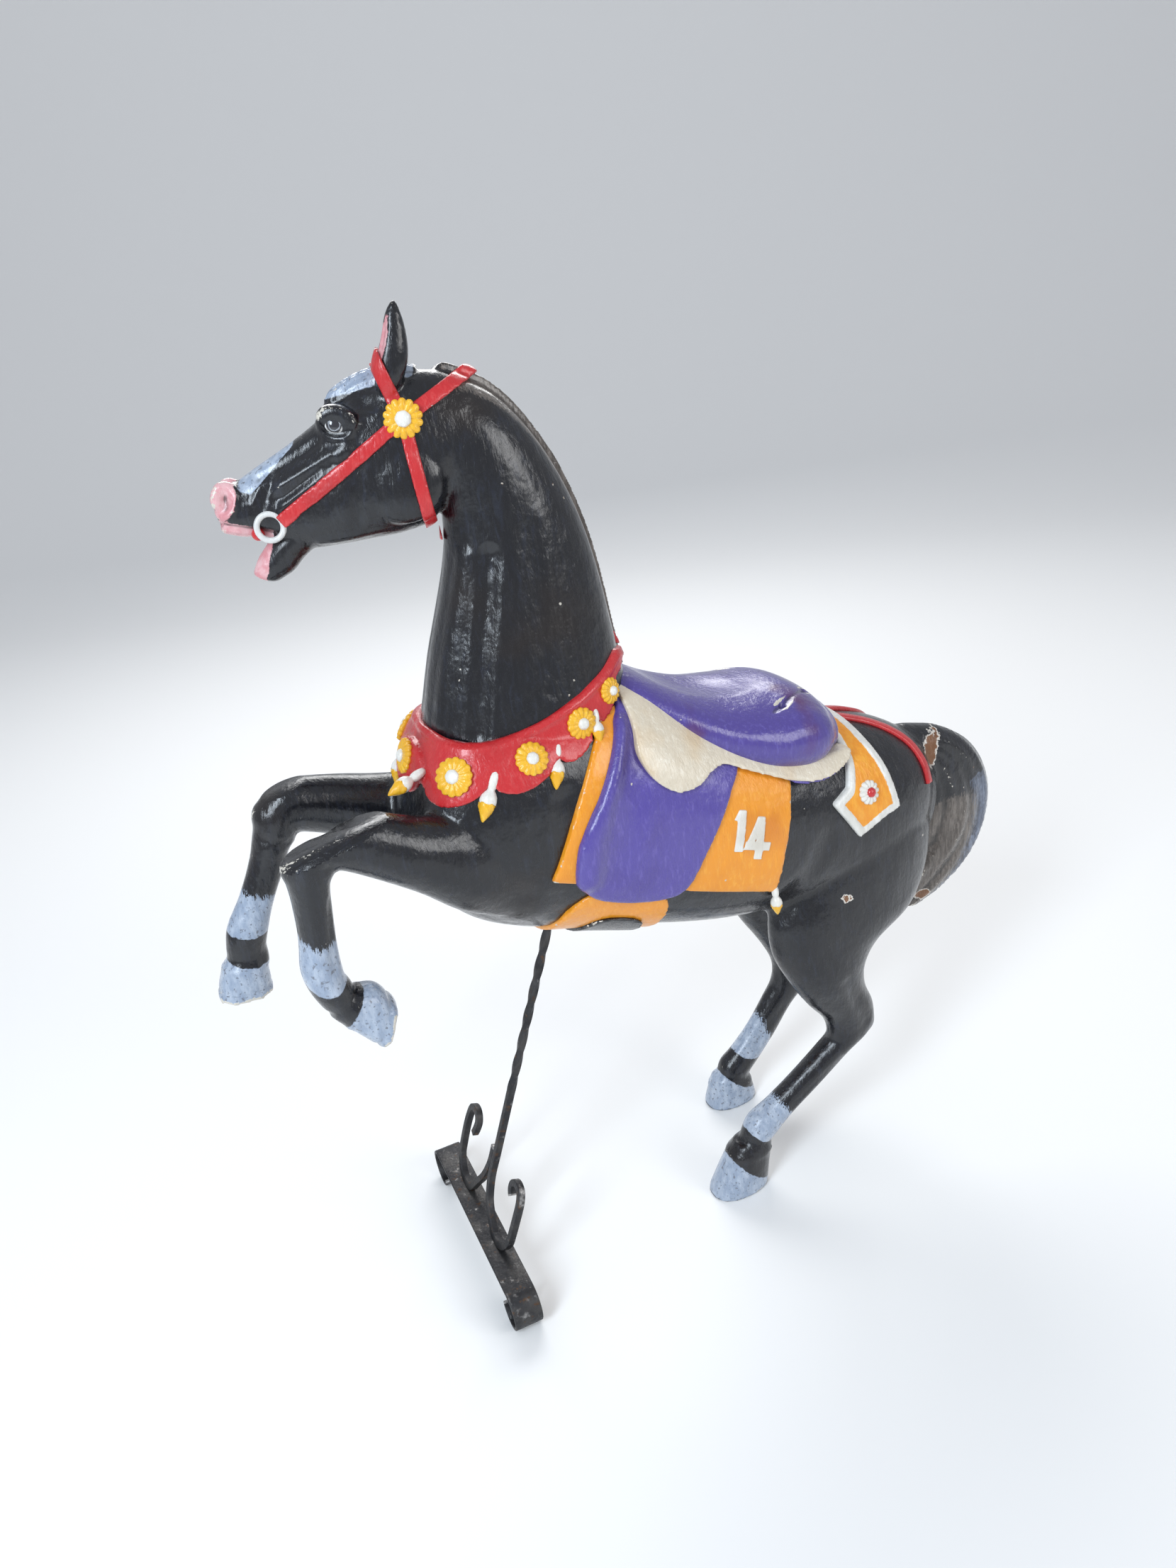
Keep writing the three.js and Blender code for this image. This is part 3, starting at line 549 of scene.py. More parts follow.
# ---------------------------------------------------------------- materials
class Nodes:
    """small helper to write a node tree line by line"""

    def __init__(self, name):
        self.mat = bpy.data.materials.new(name)
        self.mat.use_nodes = True
        self.tree = self.mat.node_tree
        self.bsdf = self.tree.nodes["Principled BSDF"]
        self.coord = self.tree.nodes.new("ShaderNodeTexCoord").outputs["Object"]

    def put(self, socket, value):
        if isinstance(value, bpy.types.NodeSocket):
            self.tree.links.new(value, socket)
        elif value is not None:
            socket.default_value = value

    def math(self, op, a, b=None, clamp=False):
        n = self.tree.nodes.new("ShaderNodeMath")
        n.operation = op
        n.use_clamp = clamp
        self.put(n.inputs[0], a)
        self.put(n.inputs[1], b)
        return n.outputs[0]

    def scaled(self, scale, turn=(0, 0, 0)):
        n = self.tree.nodes.new("ShaderNodeMapping")
        self.put(n.inputs["Vector"], self.coord)
        n.inputs["Rotation"].default_value = turn
        n.inputs["Scale"].default_value = scale
        return n.outputs[0]

    def noise(self, scale, detail=3, rough=0.55, stretch=None, turn=(0, 0, 0), warp=0.0):
        n = self.tree.nodes.new("ShaderNodeTexNoise")
        self.put(n.inputs["Vector"], self.scaled(stretch, turn) if stretch else self.coord)
        n.inputs["Scale"].default_value = scale
        n.inputs["Detail"].default_value = detail
        n.inputs["Roughness"].default_value = rough
        n.inputs["Distortion"].default_value = warp
        return n.outputs["Fac"]

    def cells(self, scale):
        n = self.tree.nodes.new("ShaderNodeTexVoronoi")
        self.put(n.inputs["Vector"], self.coord)
        n.inputs["Scale"].default_value = scale
        return n.outputs["Distance"], n.outputs["Color"]

    def attr(self, name):
        n = self.tree.nodes.new("ShaderNodeAttribute")
        n.attribute_name = name
        return n.outputs["Fac"]

    def step(self, value, low, high):
        n = self.tree.nodes.new("ShaderNodeMapRange")
        n.interpolation_type = "SMOOTHSTEP"
        self.put(n.inputs["Value"], value)
        n.inputs["From Min"].default_value = low
        n.inputs["From Max"].default_value = high
        return n.outputs[0]

    def span(self, value, low, high, to_low, to_high):
        n = self.tree.nodes.new("ShaderNodeMapRange")
        self.put(n.inputs["Value"], value)
        for k, v in (("From Min", low), ("From Max", high), ("To Min", to_low), ("To Max", to_high)):
            n.inputs[k].default_value = v
        return n.outputs[0]

    def mix(self, fac, a, b, blend="MIX"):
        n = self.tree.nodes.new("ShaderNodeMix")
        n.data_type = "RGBA"
        n.blend_type = blend
        self.put(n.inputs[0], fac)
        self.put(n.inputs[6], (*a, 1) if isinstance(a, tuple) else a)
        self.put(n.inputs[7], (*b, 1) if isinstance(b, tuple) else b)
        return n.outputs[2]

    def bump(self, height, distance, strength=1.0, normal=None):
        n = self.tree.nodes.new("ShaderNodeBump")
        n.inputs["Strength"].default_value = strength
        n.inputs["Distance"].default_value = distance
        self.put(n.inputs["Height"], height)
        self.put(n.inputs["Normal"], normal)
        return n.outputs[0]

    def mask(self, name, wobble, soft=0.8):
        """1 inside the painted zone; its border wobbles like a hand-painted edge"""
        return self.math("SUBTRACT", 1.0, self.step(self.math("ADD", self.attr(name), wobble), -soft, soft))

    def paint_finish(self, colour, gloss=0.2, spread=0.14, coat=0.35, relief=1.0):
        """brush marks, dust and orange-peel on top of a colour"""
        marks = self.noise(9, 4, 0.6, stretch=(14, 14, 3), warp=0.6)
        fine = self.noise(420, 2, 0.5, stretch=(1, 1, 0.3))
        soft = self.noise(26, 3, 0.5)
        rough = self.span(marks, 0.3, 0.7, gloss, gloss + spread)
        rough = self.math("ADD", rough, self.span(fine, 0.4, 0.7, 0.0, 0.06))
        self.put(self.bsdf.inputs["Base Color"], colour)
        self.put(self.bsdf.inputs["Roughness"], rough)
        self.bsdf.inputs["Coat Weight"].default_value = coat
        self.bsdf.inputs["Coat Roughness"].default_value = 0.12
        n = self.bump(soft, 0.010 * relief, 0.35)
        n = self.bump(marks, 0.0022 * relief, 0.5, n)
        n = self.bump(fine, 0.0006 * relief, 0.45, n)
        self.put(self.bsdf.inputs["Normal"], n)

    def worn(self, colour, under=(0.62, 0.58, 0.5), wood=(0.16, 0.07, 0.025), amount=1.0):
        """paint lost on the sharpest edges and in small chips: pale primer, and wood inside it"""
        edge = self.attr("edge")
        speck = self.noise(150, 3, 0.65)
        lost = self.step(self.math("ADD", self.math("MULTIPLY", edge, 0.40 * amount), speck), 1.02, 1.10)
        colour = self.mix(lost, colour, under)
        cell, _ = self.cells(34)
        rare = self.step(self.noise(11, 2, 0.5), 0.60, 0.66)
        dot = self.math("SUBTRACT", 1.0, self.step(self.math("ADD", cell, self.span(speck, 0.3, 0.7, -0.03, 0.03)), 0.05, 0.075))
        dot = self.math("MULTIPLY", self.math("MULTIPLY", dot, rare), amount)
        return self.mix(dot, colour, self.mix(self.step(speck, 0.48, 0.55), under, wood))

    def groove_shade_and_dirt(self, colour, shade_and_dirt, amount=0.7):
        """painted shade and dirt in the grooves: the colour darkens where the surface dips"""
        low = self.step(self.math("MULTIPLY", self.attr("edge"), -1.0), 0.15, 1.0)
        fade = self.math("MULTIPLY", self.math("MULTIPLY", low, amount), self.span(self.noise(60, 3), 0.3, 0.7, 0.6, 1.0))
        return self.mix(fade, colour, shade_and_dirt)


def paint(name, base, light, dark, shade_and_dirt, gloss=0.2, spread=0.16, amount=1.0, coat=0.35):
    m = Nodes(name)
    marks = m.noise(11, 4, 0.62, stretch=(16, 16, 3.5), warp=0.8)
    cloud = m.noise(7, 3, 0.5)
    colour = m.mix(m.step(marks, 0.50, 0.72), base, light)
    # clouds of the third colour: a darker tone at random, but on the seat a painted maroon reflection
    colour = m.mix(m.step(cloud, 0.52, 0.74), colour, dark)
    # grooves darkened towards the fourth colour: painted shade and dirt
    colour = m.groove_shade_and_dirt(colour, shade_and_dirt)
    colour = m.worn(colour, amount=amount)
    m.paint_finish(colour, gloss, spread, coat)
    return m.mat


def horse_paint():
    m = Nodes("horse_paint")
    marks = m.noise(8, 5, 0.66, stretch=(12, 12, 3), warp=1.2)
    cloud = m.noise(5, 3, 0.5)
    colour = m.mix(m.step(marks, 0.48, 0.75), (0.0052, 0.0056, 0.0078), (0.013, 0.016, 0.026))
    colour = m.mix(m.step(cloud, 0.55, 0.75), colour, (0.012, 0.0085, 0.0075))
    wob = m.span(m.noise(120, 3, 0.6), 0.25, 0.75, -1.8, 1.8)
    streak = m.span(m.noise(60, 4, 0.7, stretch=(6, 6, 0.7)), 0.25, 0.75, -13, 13)
    # bluish grey socks, hooves, blaze and forelock, feathered out into the black at the top of the socks
    pale = m.mix(m.step(m.noise(16, 4, 0.6, stretch=(5, 5, 2)), 0.35, 0.7), (0.27, 0.33, 0.43), (0.42, 0.48, 0.57))
    pale = m.mix(m.step(m.noise(180, 2, 0.5), 0.58, 0.7), pale, (0.16, 0.18, 0.22))
    wobble = m.math("ADD", wob, m.math("MULTIPLY", streak, m.attr("feather")))
    grey = m.mask("grey", wobble, 1.0)
    colour = m.mix(grey, colour, pale)
    # mane and tail: brown-grey brushed thinly over black
    hair = m.noise(22, 4, 0.7, stretch=(9, 9, 1.2), warp=0.5)
    brown = m.mix(m.step(hair, 0.38, 0.66), (0.075, 0.062, 0.052), (0.18, 0.155, 0.135))
    colour = m.mix(m.mask("mane", m.math("MULTIPLY", streak, 0.45), 2.0), colour, brown)
    colour = m.mix(m.mask("tail", m.math("MULTIPLY", streak, 1.3), 6.0), colour, brown)
    # painted sheen: a blue-grey band along the tail's outer curve, brushed over the brown
    sheen_blue = m.mix(m.step(hair, 0.35, 0.7), (0.075, 0.09, 0.13), (0.21, 0.25, 0.33))
    colour = m.mix(m.math("MULTIPLY", m.mask("tail_sheen", m.math("MULTIPLY", streak, 0.8), 7.0), 0.9), colour, sheen_blue)
    # pink lips, nostrils and ears; painted shade and dirt then darken their hollows and every other groove
    rose = m.mix(m.step(m.noise(45, 4, 0.6), 0.4, 0.65), (0.60, 0.25, 0.27), (0.70, 0.42, 0.43))
    colour = m.mix(m.mask("pink", wob, 0.8), colour, rose)
    colour = m.groove_shade_and_dirt(colour, (0.008, 0.008, 0.009), 0.85)
    colour = m.worn(colour, amount=0.85)
    # larger losses: pale edge of old paint round bare wood
    chip = m.math("ADD", m.attr("chip"), m.span(m.noise(90, 3, 0.7), 0.3, 0.7, -4.0, 4.0))
    grain = m.mix(m.noise(70, 3, 0.6, stretch=(1, 1, 0.15)), (0.10, 0.035, 0.012), (0.26, 0.12, 0.05))
    colour = m.mix(m.math("SUBTRACT", 1.0, m.step(chip, 2.2, 3.0)), colour, (0.62, 0.58, 0.52))
    colour = m.mix(m.math("SUBTRACT", 1.0, m.step(chip, -0.4, 0.4)), colour, grain)
    m.paint_finish(colour, 0.13, 0.17, 0.3)
    return m.mat


def iron():
    m = Nodes("iron")
    big = m.noise(24, 4, 0.6)
    fine = m.noise(220, 3, 0.6)
    colour = m.mix(m.step(big, 0.4, 0.7), (0.045, 0.045, 0.048), (0.085, 0.082, 0.08))
    colour = m.mix(m.step(m.noise(60, 4, 0.65), 0.58, 0.7), colour, (0.11, 0.065, 0.04))
    shine = m.step(m.math("ADD", m.math("MULTIPLY", m.attr("edge"), 0.35), m.noise(80, 3)), 0.86, 1.10)
    colour = m.mix(shine, colour, (0.34, 0.33, 0.32))
    m.put(m.bsdf.inputs["Base Color"], colour)
    m.bsdf.inputs["Metallic"].default_value = 0.85
    m.put(m.bsdf.inputs["Roughness"], m.math("SUBTRACT", m.span(fine, 0.3, 0.7, 0.42, 0.62), m.math("MULTIPLY", shine, 0.14)))
    n = m.bump(big, 0.004, 0.5)
    n = m.bump(fine, 0.0012, 0.6, n)
    m.put(m.bsdf.inputs["Normal"], n)
    return m.mat


def croup_paint():
    """orange plate with an off-white border, by distance from the outline"""
    m = Nodes("croup_paint")
    wob = m.span(m.noise(110, 3, 0.6), 0.25, 0.75, -1.2, 1.2)
    marks = m.noise(30, 4, 0.6, stretch=(3, 3, 1))
    orange = m.mix(m.step(marks, 0.4, 0.7), (0.80, 0.29, 0.012), (0.86, 0.38, 0.03))
    white = m.mix(m.step(marks, 0.4, 0.7), (0.66, 0.65, 0.60), (0.78, 0.77, 0.73))
    colour = m.mix(m.mask("inner", wob, 0.6), white, orange)
    # grooves darkened: painted shade and dirt
    colour = m.groove_shade_and_dirt(colour, (0.12, 0.06, 0.02), 0.8)
    colour = m.worn(colour, amount=0.8)
    m.paint_finish(colour, 0.25, 0.15, 0.25)
    return m.mat


# the last colour of each paint is what its grooves darken to: painted shade and dirt
MAT = {
    "horse": horse_paint(),
    "iron": iron(),
    "croup": croup_paint(),
    "black": paint("black_paint", (0.006, 0.006, 0.008), (0.013, 0.015, 0.02), (0.01, 0.008, 0.007), (0.003, 0.003, 0.003)),
    "red": paint("red_paint", (0.52, 0.018, 0.022), (0.60, 0.045, 0.045), (0.36, 0.012, 0.014), (0.09, 0.008, 0.008), 0.2),
    "orange": paint("orange_paint", (0.80, 0.29, 0.010), (0.86, 0.37, 0.03), (0.66, 0.21, 0.010), (0.16, 0.06, 0.01), 0.26),
    "yellow": paint("yellow_paint", (0.80, 0.42, 0.012), (0.86, 0.54, 0.04), (0.66, 0.28, 0.010), (0.20, 0.08, 0.012), 0.26),
    "white": paint("white_paint", (0.74, 0.72, 0.66), (0.82, 0.81, 0.78), (0.62, 0.58, 0.50), (0.20, 0.17, 0.12), 0.28),
    "cream": paint("cream_paint", (0.66, 0.58, 0.45), (0.76, 0.70, 0.58), (0.62, 0.45, 0.26), (0.18, 0.12, 0.07), 0.24),
    "purple": paint("purple_paint", (0.085, 0.062, 0.30), (0.13, 0.10, 0.38), (0.055, 0.035, 0.19), (0.015, 0.01, 0.05), 0.17, 0.13),
    # seat: its third colour, the maroon clouds, is a painted reflection on the gloss
    "seat": paint("seat_paint", (0.075, 0.052, 0.26), (0.11, 0.085, 0.34), (0.10, 0.014, 0.035), (0.015, 0.01, 0.05), 0.14, 0.13),
    "ring": paint("ring_paint", (0.62, 0.62, 0.60), (0.75, 0.75, 0.73), (0.5, 0.5, 0.48), (0.1, 0.1, 0.1), 0.25),
}


# ---------------------------------------------------------------- carving on body and head
def carve_body(ob):
    p, n = coords(ob), normals(ob)
    q = p.copy()
    q[:, 1] = np.abs(q[:, 1])
    d = np.zeros(len(p))
    near = p[:, 1] < 0
    # shoulder, elbow, stifle and flank
    d += 7 * falloff(ellipsoid(q, (-215, 120, 850), (120, 60, 110)))
    d -= 5 * ridge(q, (-110, 150, 930), (-70, 130, 740), 34)
    d += 6 * falloff(ellipsoid(q, (-120, 110, 745), (80, 50, 50)))
    d -= 6 * ridge(q, (380, 140, 880), (345, 120, 720), 42)
    d += 6 * falloff(ellipsoid(q, (520, 120, 860), (130, 70, 120)))
    d += 4 * falloff(ellipsoid(q, (420, 140, 700), (70, 50, 70)))
    d -= 4 * ridge(q, (620, 60, 960), (640, 95, 760), 26)
    # groove down the middle of the chest
    d -= 7 * ridge(p, (-300, 0, 905), (-262, 0, 760), 20)
    # knees: bony caps and the hollow above them
    d += 4.5 * falloff(ellipsoid(p, (-496, -118, 838), (30, 34, 26))) * near
    d += 3.5 * falloff(ellipsoid(p, (-492, -118, 795), (22, 32, 20))) * near
    d -= 3.0 * ridge(p, (-505, -120, 815), (-440, -150, 815), 12) * near
    d -= 4.0 * ridge(p, (-440, -150, 850), (-440, -80, 850), 30) * near
    d += 4.0 * falloff(ellipsoid(p, (-486, 112, 782), (28, 34, 26))) * ~near
    d -= 3.0 * ridge(p, (-500, 85, 752), (-440, 85, 748), 12) * ~near
    # tendon grooves on the cannons, point of the hock
    for a, b, side in [((-425, -138, 760), (-410, -138, 650), near), ((-462, 90, 730), (-470, 90, 640), ~near),
                       ((580, -132, 440), (500, -134, 340), near), ((600, 82, 420), (560, 82, 330), ~near)]:
        d -= 2.6 * ridge(p, a, b, 12) * side
    d += 5 * falloff(ellipsoid(p, (640, -112, 500), (26, 26, 30))) * near
    d += 5 * falloff(ellipsoid(p, (662, 102, 480), (26, 26, 30))) * ~near
    d -= 4 * ridge(p, (608, -140, 520), (520, -146, 610), 20) * near
    d -= 4 * ridge(p, (622, 130, 520), (540, 132, 600), 20) * ~near
    # fetlock tufts and heels
    for c in [(-380, -116, 618), (488, -112, 276), (-446, 112, 545), (572, 102, 256)]:
        d += 4 * falloff(ellipsoid(p, c, (22, 26, 22)))
    # groove round each hoof above the sole, and the coronet
    for table in (NEAR_FORE_HOOF, FAR_FORE_HOOF, NEAR_HIND_HOOF, FAR_HIND_HOOF):
        last = table[-1]
        y = last[4]
        mask = falloff(np.abs(p[:, 1] - y) / 62) ** 0.1 * (np.abs(p[:, 1] - y) < 60)
        a, b = np.array([last[0], last[1]], float), np.array([last[2], last[3]], float)
        axis = np.array([b[1] - a[1], a[0] - b[0]]) / np.linalg.norm(b - a)
        mid = np.array([(table[0][0] + table[0][2]) / 2, (table[0][1] + table[0][3]) / 2])
        if (mid - a) @ axis < 0:
            axis = -axis
        h = (p[:, [0, 2]] - a) @ axis
        w = np.linalg.norm(p[:, [0, 2]] - (a + b) / 2, axis=1) < 120
        d -= 2.6 * np.exp(-((h - 15) / 3.4) ** 2) * mask * w
        low = table[0]
        c2 = (np.array([low[0], low[1]]) + np.array([low[2], low[3]])) / 2
        h2 = (p[:, [0, 2]] - c2) @ axis
        d += 1.8 * np.exp(-((h2 + 14) / 6) ** 2) * mask * w
    # tail: long locks that wind down it
    t, across = tail_place(p)
    on = tail_mask(p)
    lock = np.sin(across * 9 + t * 0.012 + 1.3 * np.sin(t * 0.02)) + 0.5 * np.sin(across * 21 + t * 0.03)
    d += 2.6 * lock * on
    set_coords(ob, p + n * d[:, None])


TAIL_FINE = refine([r + [2] for r in TAIL], 6)
TAIL_MID = np.stack([(TAIL_FINE[:, 0] + TAIL_FINE[:, 2]) / 2, (TAIL_FINE[:, 1] + TAIL_FINE[:, 3]) / 2], 1)


def tail_place(p):
    """distance along the tail, and place across it: -1 inner edge to 1 outer edge"""
    xz = p[:, [0, 2]]
    k = np.argmin(((xz[:, None, :] - TAIL_MID[None, :, :]) ** 2).sum(2), axis=1)
    run = np.concatenate([[0], np.cumsum(np.linalg.norm(np.diff(TAIL_MID, axis=0), axis=1))])
    out = TAIL_FINE[k][:, :2] - TAIL_FINE[k][:, 2:4]
    half = np.linalg.norm(out, axis=1) / 2
    unit = out / (2 * half[:, None])
    across = ((xz - TAIL_MID[k]) * unit).sum(1) / half
    return run[k], across


def tail_mask(p):
    poly = np.vstack([TAIL_FINE[:, :2], TAIL_FINE[::-1, 2:4]])
    sd = polygon_distance(p[:, [0, 2]], poly)
    m = np.clip(1 - (sd + 2) / 12, 0, 1) * (np.abs(p[:, 1]) < 52)
    return m * np.clip((p[:, 0] - 655) / 40, 0, 1)


def carve_head(ob):
    p, n = coords(ob), normals(ob)
    h = head_in(p)
    u, s, v = h[:, 0], np.abs(h[:, 1]), h[:, 2]
    q = np.stack([u, s, v], 1)
    front = u > -60
    d = np.zeros(len(p))
    # lids: ring round the eye, heavier above, pulled to a corner at the rear
    r = ellipsoid(q[:, [0, 2]], (143, 1379), (18, 13.5))
    side_face = falloff((s - 50) / 45) * (s > 18)
    d += 5.0 * np.exp(-((r - 1.25) / 0.30) ** 2) * side_face * front
    d += 3.5 * np.exp(-((r - 1.6) / 0.35) ** 2) * (v > 1382) * side_face * front
    d -= 5.5 * falloff(r / 1.05) * side_face * front
    d -= 4.0 * ridge(q, (112, 48, 1366), (92, 50, 1356), 11) * front
    # hollow above the eye, ridge below it, wrinkles toward the mouth
    d -= 5.0 * falloff(ellipsoid(q, (110, 40, 1412), (24, 26, 18))) * front
    d += 5.0 * ridge(q, (125, 50, 1352), (200, 32, 1286), 15) * front
    d -= 4.0 * ridge(q, (140, 48, 1332), (205, 32, 1268), 12) * front
    d += 3.0 * ridge(q, (150, 46, 1316), (196, 34, 1262), 9) * front
    d -= 3.5 * ridge(q, (165, 40, 1352), (232, 26, 1290), 12) * front
    d -= 2.0 * ridge(q, (212, 30, 1296), (222, 30, 1252), 7) * front
    d += 2.0 * ridge(q, (224, 30, 1300), (234, 30, 1256), 7) * front
    # jaw edge and the hollow between jaw and cheek
    d += 3.5 * ridge(q, (20, 44, 1262), (140, 34, 1222), 14) * front
    d -= 3.0 * ridge(q, (108, 52, 1330), (96, 50, 1262), 16) * front
    # nostril: raised rim and a deep oval hole
    rn = ellipsoid(q[:, [0, 2]], (271, 1254), (12, 19))
    nose = (u > 225) & (s > 8)
    d += 4.0 * np.exp(-((rn - 1.2) / 0.28) ** 2) * nose
    d -= 9.0 * falloff(rn / 0.95) * nose
    # mouth: slit between the lips that runs back to the bit
    d -= 6.0 * ridge(q[:, [0, 2]], (280, 1218), (205, 1222), 6.5) * front * (s > 2)
    d += 2.4 * ridge(q[:, [0, 2]], (276, 1209), (240, 1207), 8) * front
    # windpipe and the groove beside it, crest
    y = np.abs(p[:, 1])
    w = np.stack([p[:, 0], y, p[:, 2]], 1)
    d -= 6.0 * ridge(w, (-262, 62, 1250), (-240, 88, 1000), 22)
    d += 4.0 * ridge(w, (-284, 34, 1240), (-284, 40, 1000), 22)
    d -= 3.0 * ridge(w, (-215, 66, 1290), (-150, 92, 1080), 26)
    # ears: hollow in front, its rim raised
    ear = (v > 1440) & (s > 24) & (u > 60)
    re = ellipsoid(np.stack([u, s, v], 1), (103, 45, 1495), (12, 12, 36))
    d -= 7.0 * falloff(re) * ear
    # mane locks on the far side, forelock strands
    far = mane_side(p)
    flow = p[:, 0] * 0.62 + p[:, 2] * 0.34
    d += (3.2 * np.sin(flow * 0.19 + 1.6 * np.sin(p[:, 2] * 0.025)) + 1.4 * np.sin(flow * 0.43)) * far
    top = (u > 55) & (v > 1400) & (s < 26) & (u < 170)
    d += 1.6 * np.sin(h[:, 1] * 0.55 + u * 0.02) * top
    set_coords(ob, p + n * d[:, None])


def mane_side(p):
    sd = polygon_distance(p[:, [0, 2]], MANE_LINE)
    return np.clip(-sd / 10, 0, 1) * np.clip((p[:, 1] - 10) / 10, 0, 1)


def paint_zones(ob, is_head):
    """signed distances in mm, below 0 inside, that the paint's material turns into borders"""
    p = coords(ob)
    xz = p[:, [0, 2]]
    near = p[:, 1] < 0
    big = np.full(len(p), 60.0)
    grey, feather, tail, tail_sheen, chip = big.copy(), np.zeros(len(p)), big.copy(), big.copy(), big.copy()
    pink, mane = big.copy(), big.copy()
    if not is_head:
        legs = [
            (near & (p[:, 0] > 300), [(434, 372), (493, 333), 0], [(408, 304), (469, 264), 9], [(372, 251), (478, 187), 8]),
            (~near & (p[:, 0] > 300), [(539, 413), (583, 356), 0], [(500, 322), (566, 296), 8], [(479, 272), (590, 226), 8]),
            (near & (p[:, 0] < -280), [(-463, 697), (-402, 704), 14], [(-445, 624), (-380, 636), 20], [(-370, 564), (-353, 624), 0]),
            (~near & (p[:, 0] < -280), [(-502, 656), (-459, 654), 3], [(-512, 583), (-463, 587), 3], [(-517, 537), (-431, 541), 8]),
        ]
        for pick, top, low, hoof in legs:
            pick = pick & (p[:, 2] < 720)
            a = border(xz, *top)
            b = border(xz, *low)
            c = border(xz, *hoof)
            g = np.minimum(np.maximum(a, -b), c)
            grey = np.where(pick, np.clip(g, -60, 60), grey)
            feather = np.where(pick, np.exp(-(a / 26) ** 2), feather)
        t, across = tail_place(p)
        on = tail_mask(p) > 0.02
        edge = np.maximum(175 + 25 * across - t, (across - 0.86) * 60)
        tail = np.where(on, np.clip(edge, -60, 60), tail)
        # band of painted sheen along the tail's outer curve
        sheen_band = np.maximum(np.abs(across - 0.62) * 60 - 13, 165 - t)
        tail_sheen = np.where(on, np.clip(sheen_band, -60, 60), tail_sheen)
        for c, r in [((655, -40, 1018), (14, 26, 30)), ((668, -34, 1046), (6, 20, 12)), ((762, -30, 722), (14, 30, 10)),
                     ((-513, -118, 826), (9, 20, 10)), ((466, -150, 772), (7, 14, 5))]:
            chip = np.minimum(chip, (ellipsoid(p, c, r) - 1) * min(r))
    else:
        h = head_in(p)
        u, s, v = h[:, 0], h[:, 1], h[:, 2]
        uv = np.stack([u, v], 1)
        # blaze down the nose with a point at its lower end, forelock
        nose = np.interp(u, [147, 178, 207, 236, 256, 274], [1404, 1366, 1334, 1305, 1284, 1264])
        depth = np.interp(u, [190, 206, 224, 238, 252, 262], [4, 12, 26, 34, 20, 4])
        blaze = np.maximum(np.maximum((nose - v) - depth, 196 - u), u - 258)
        lock = np.maximum(np.abs(s) - 27, (1402 + (170 - u) * 0.50) - v)
        lock = np.maximum(lock, np.maximum(58 - u, u - 172))
        grey = np.clip(np.minimum(blaze, lock), -60, 60)
        # lips, nostril, inner ear
        rn = (ellipsoid(np.stack([u, v], 1), (273, 1254), (17, 27)) - 1) * 17
        up = np.maximum(v - 1226, 204 - u)
        up = np.maximum(up, (1200 - v))
        low = np.maximum(polygon_distance(uv, [(203, 1232), (240, 1232), (240, 1150), (206, 1150)]), -60)
        pink = np.minimum(np.maximum(rn, 244 - u), np.minimum(up, np.maximum(low, v - 1212)))
        ear = (ellipsoid(np.stack([u, np.abs(s), v], 1), (104, 46, 1492), (11, 9, 31)) - 1) * 9
        pink = np.clip(np.minimum(pink, ear), -60, 60)
        line = refine([[r[2], r[3]] for r in NECK], 6)
        crest = np.full(len(p), 1e9)
        for a, b in zip(line[:-1], line[1:]):
            crest = np.minimum(crest, line_distance(xz, a, b))
        strip = np.maximum(np.maximum(-26 - p[:, 1], crest - 46), u - 4)
        far = np.maximum(polygon_distance(xz, MANE_LINE), 8 - p[:, 1])
        mane = np.clip(np.minimum(strip, far), -60, 60)
    give(ob, "grey", grey)
    give(ob, "feather", feather)
    give(ob, "tail", tail)
    give(ob, "tail_sheen", tail_sheen)
    give(ob, "chip", chip)
    give(ob, "pink", pink)
    give(ob, "mane", mane)
    give(ob, "edge", curvature(ob))


# ---------------------------------------------------------------- horse
def trunk(grow, name="trunk"):
    a = make(name, *loft(TORSO, grow=grow, around=96, steps=8))
    b = make("n", *loft(NECK, grow=grow, round_=0.2, around=80, steps=8))
    return boolean(a, b, "UNION")


SPLIT = Vector((-130, 0, 1036))
SPLIT_N = Vector((-0.54, 0, 0.84)).normalized()

plain = trunk(0, "plain")
limbs = [
    (NEAR_FORE, 0.4), (NEAR_FORE_HOOF, 0), (FAR_FORE, 0.4), (FAR_FORE_HOOF, 0), (NEAR_HIND, 0.4),
    (NEAR_HIND_HOOF, 0), (FAR_HIND, 0.4), (FAR_HIND_HOOF, 0), (TAIL, 0.4),
]
bodies = [make("l", *loft(t, round_=r)) for t, r in limbs]
copy = plain.copy()
copy.data = plain.data.copy()
C.scene.collection.objects.link(copy)
body = join("horse_body", [copy] + bodies)
remesh(body, 5.5, smooth=4)
slice_off(body, SPLIT, SPLIT_N)
ground_n = Vector((math.sin(RAKE), 0, -math.cos(RAKE)))
slice_off(body, Vector((0, 0, -LIFT / math.cos(RAKE))), ground_n)


def ball(centre, radii, cols=32, rows=20):
    v = []
    f = []
    for i in range(rows + 1):
        a = math.pi * i / rows
        for j in range(cols):
            b = 2 * math.pi * j / cols
            v.append([math.sin(a) * math.cos(b), math.sin(a) * math.sin(b), math.cos(a)])
    v = np.array(v)
    for i in range(rows):
        for j in range(cols):
            f.append((i * cols + j, i * cols + (j + 1) % cols, (i + 1) * cols + (j + 1) % cols, (i + 1) * cols + j))
    me = make("ball", v * np.array(radii) + np.array(centre), f)
    bm = bmesh.new()
    bm.from_mesh(me.data)
    bmesh.ops.remove_doubles(bm, verts=bm.verts, dist=1e-3)
    bm.to_mesh(me.data)
    bm.free()
    return me


def flip_y(ob):
    p = coords(ob)
    p[:, 1] *= -1
    new = make(ob.name, p, [tuple(q.vertices) for q in ob.data.polygons])
    return new


def to_drawing(ob):
    set_coords(ob, head_out(coords(ob)))
    return ob


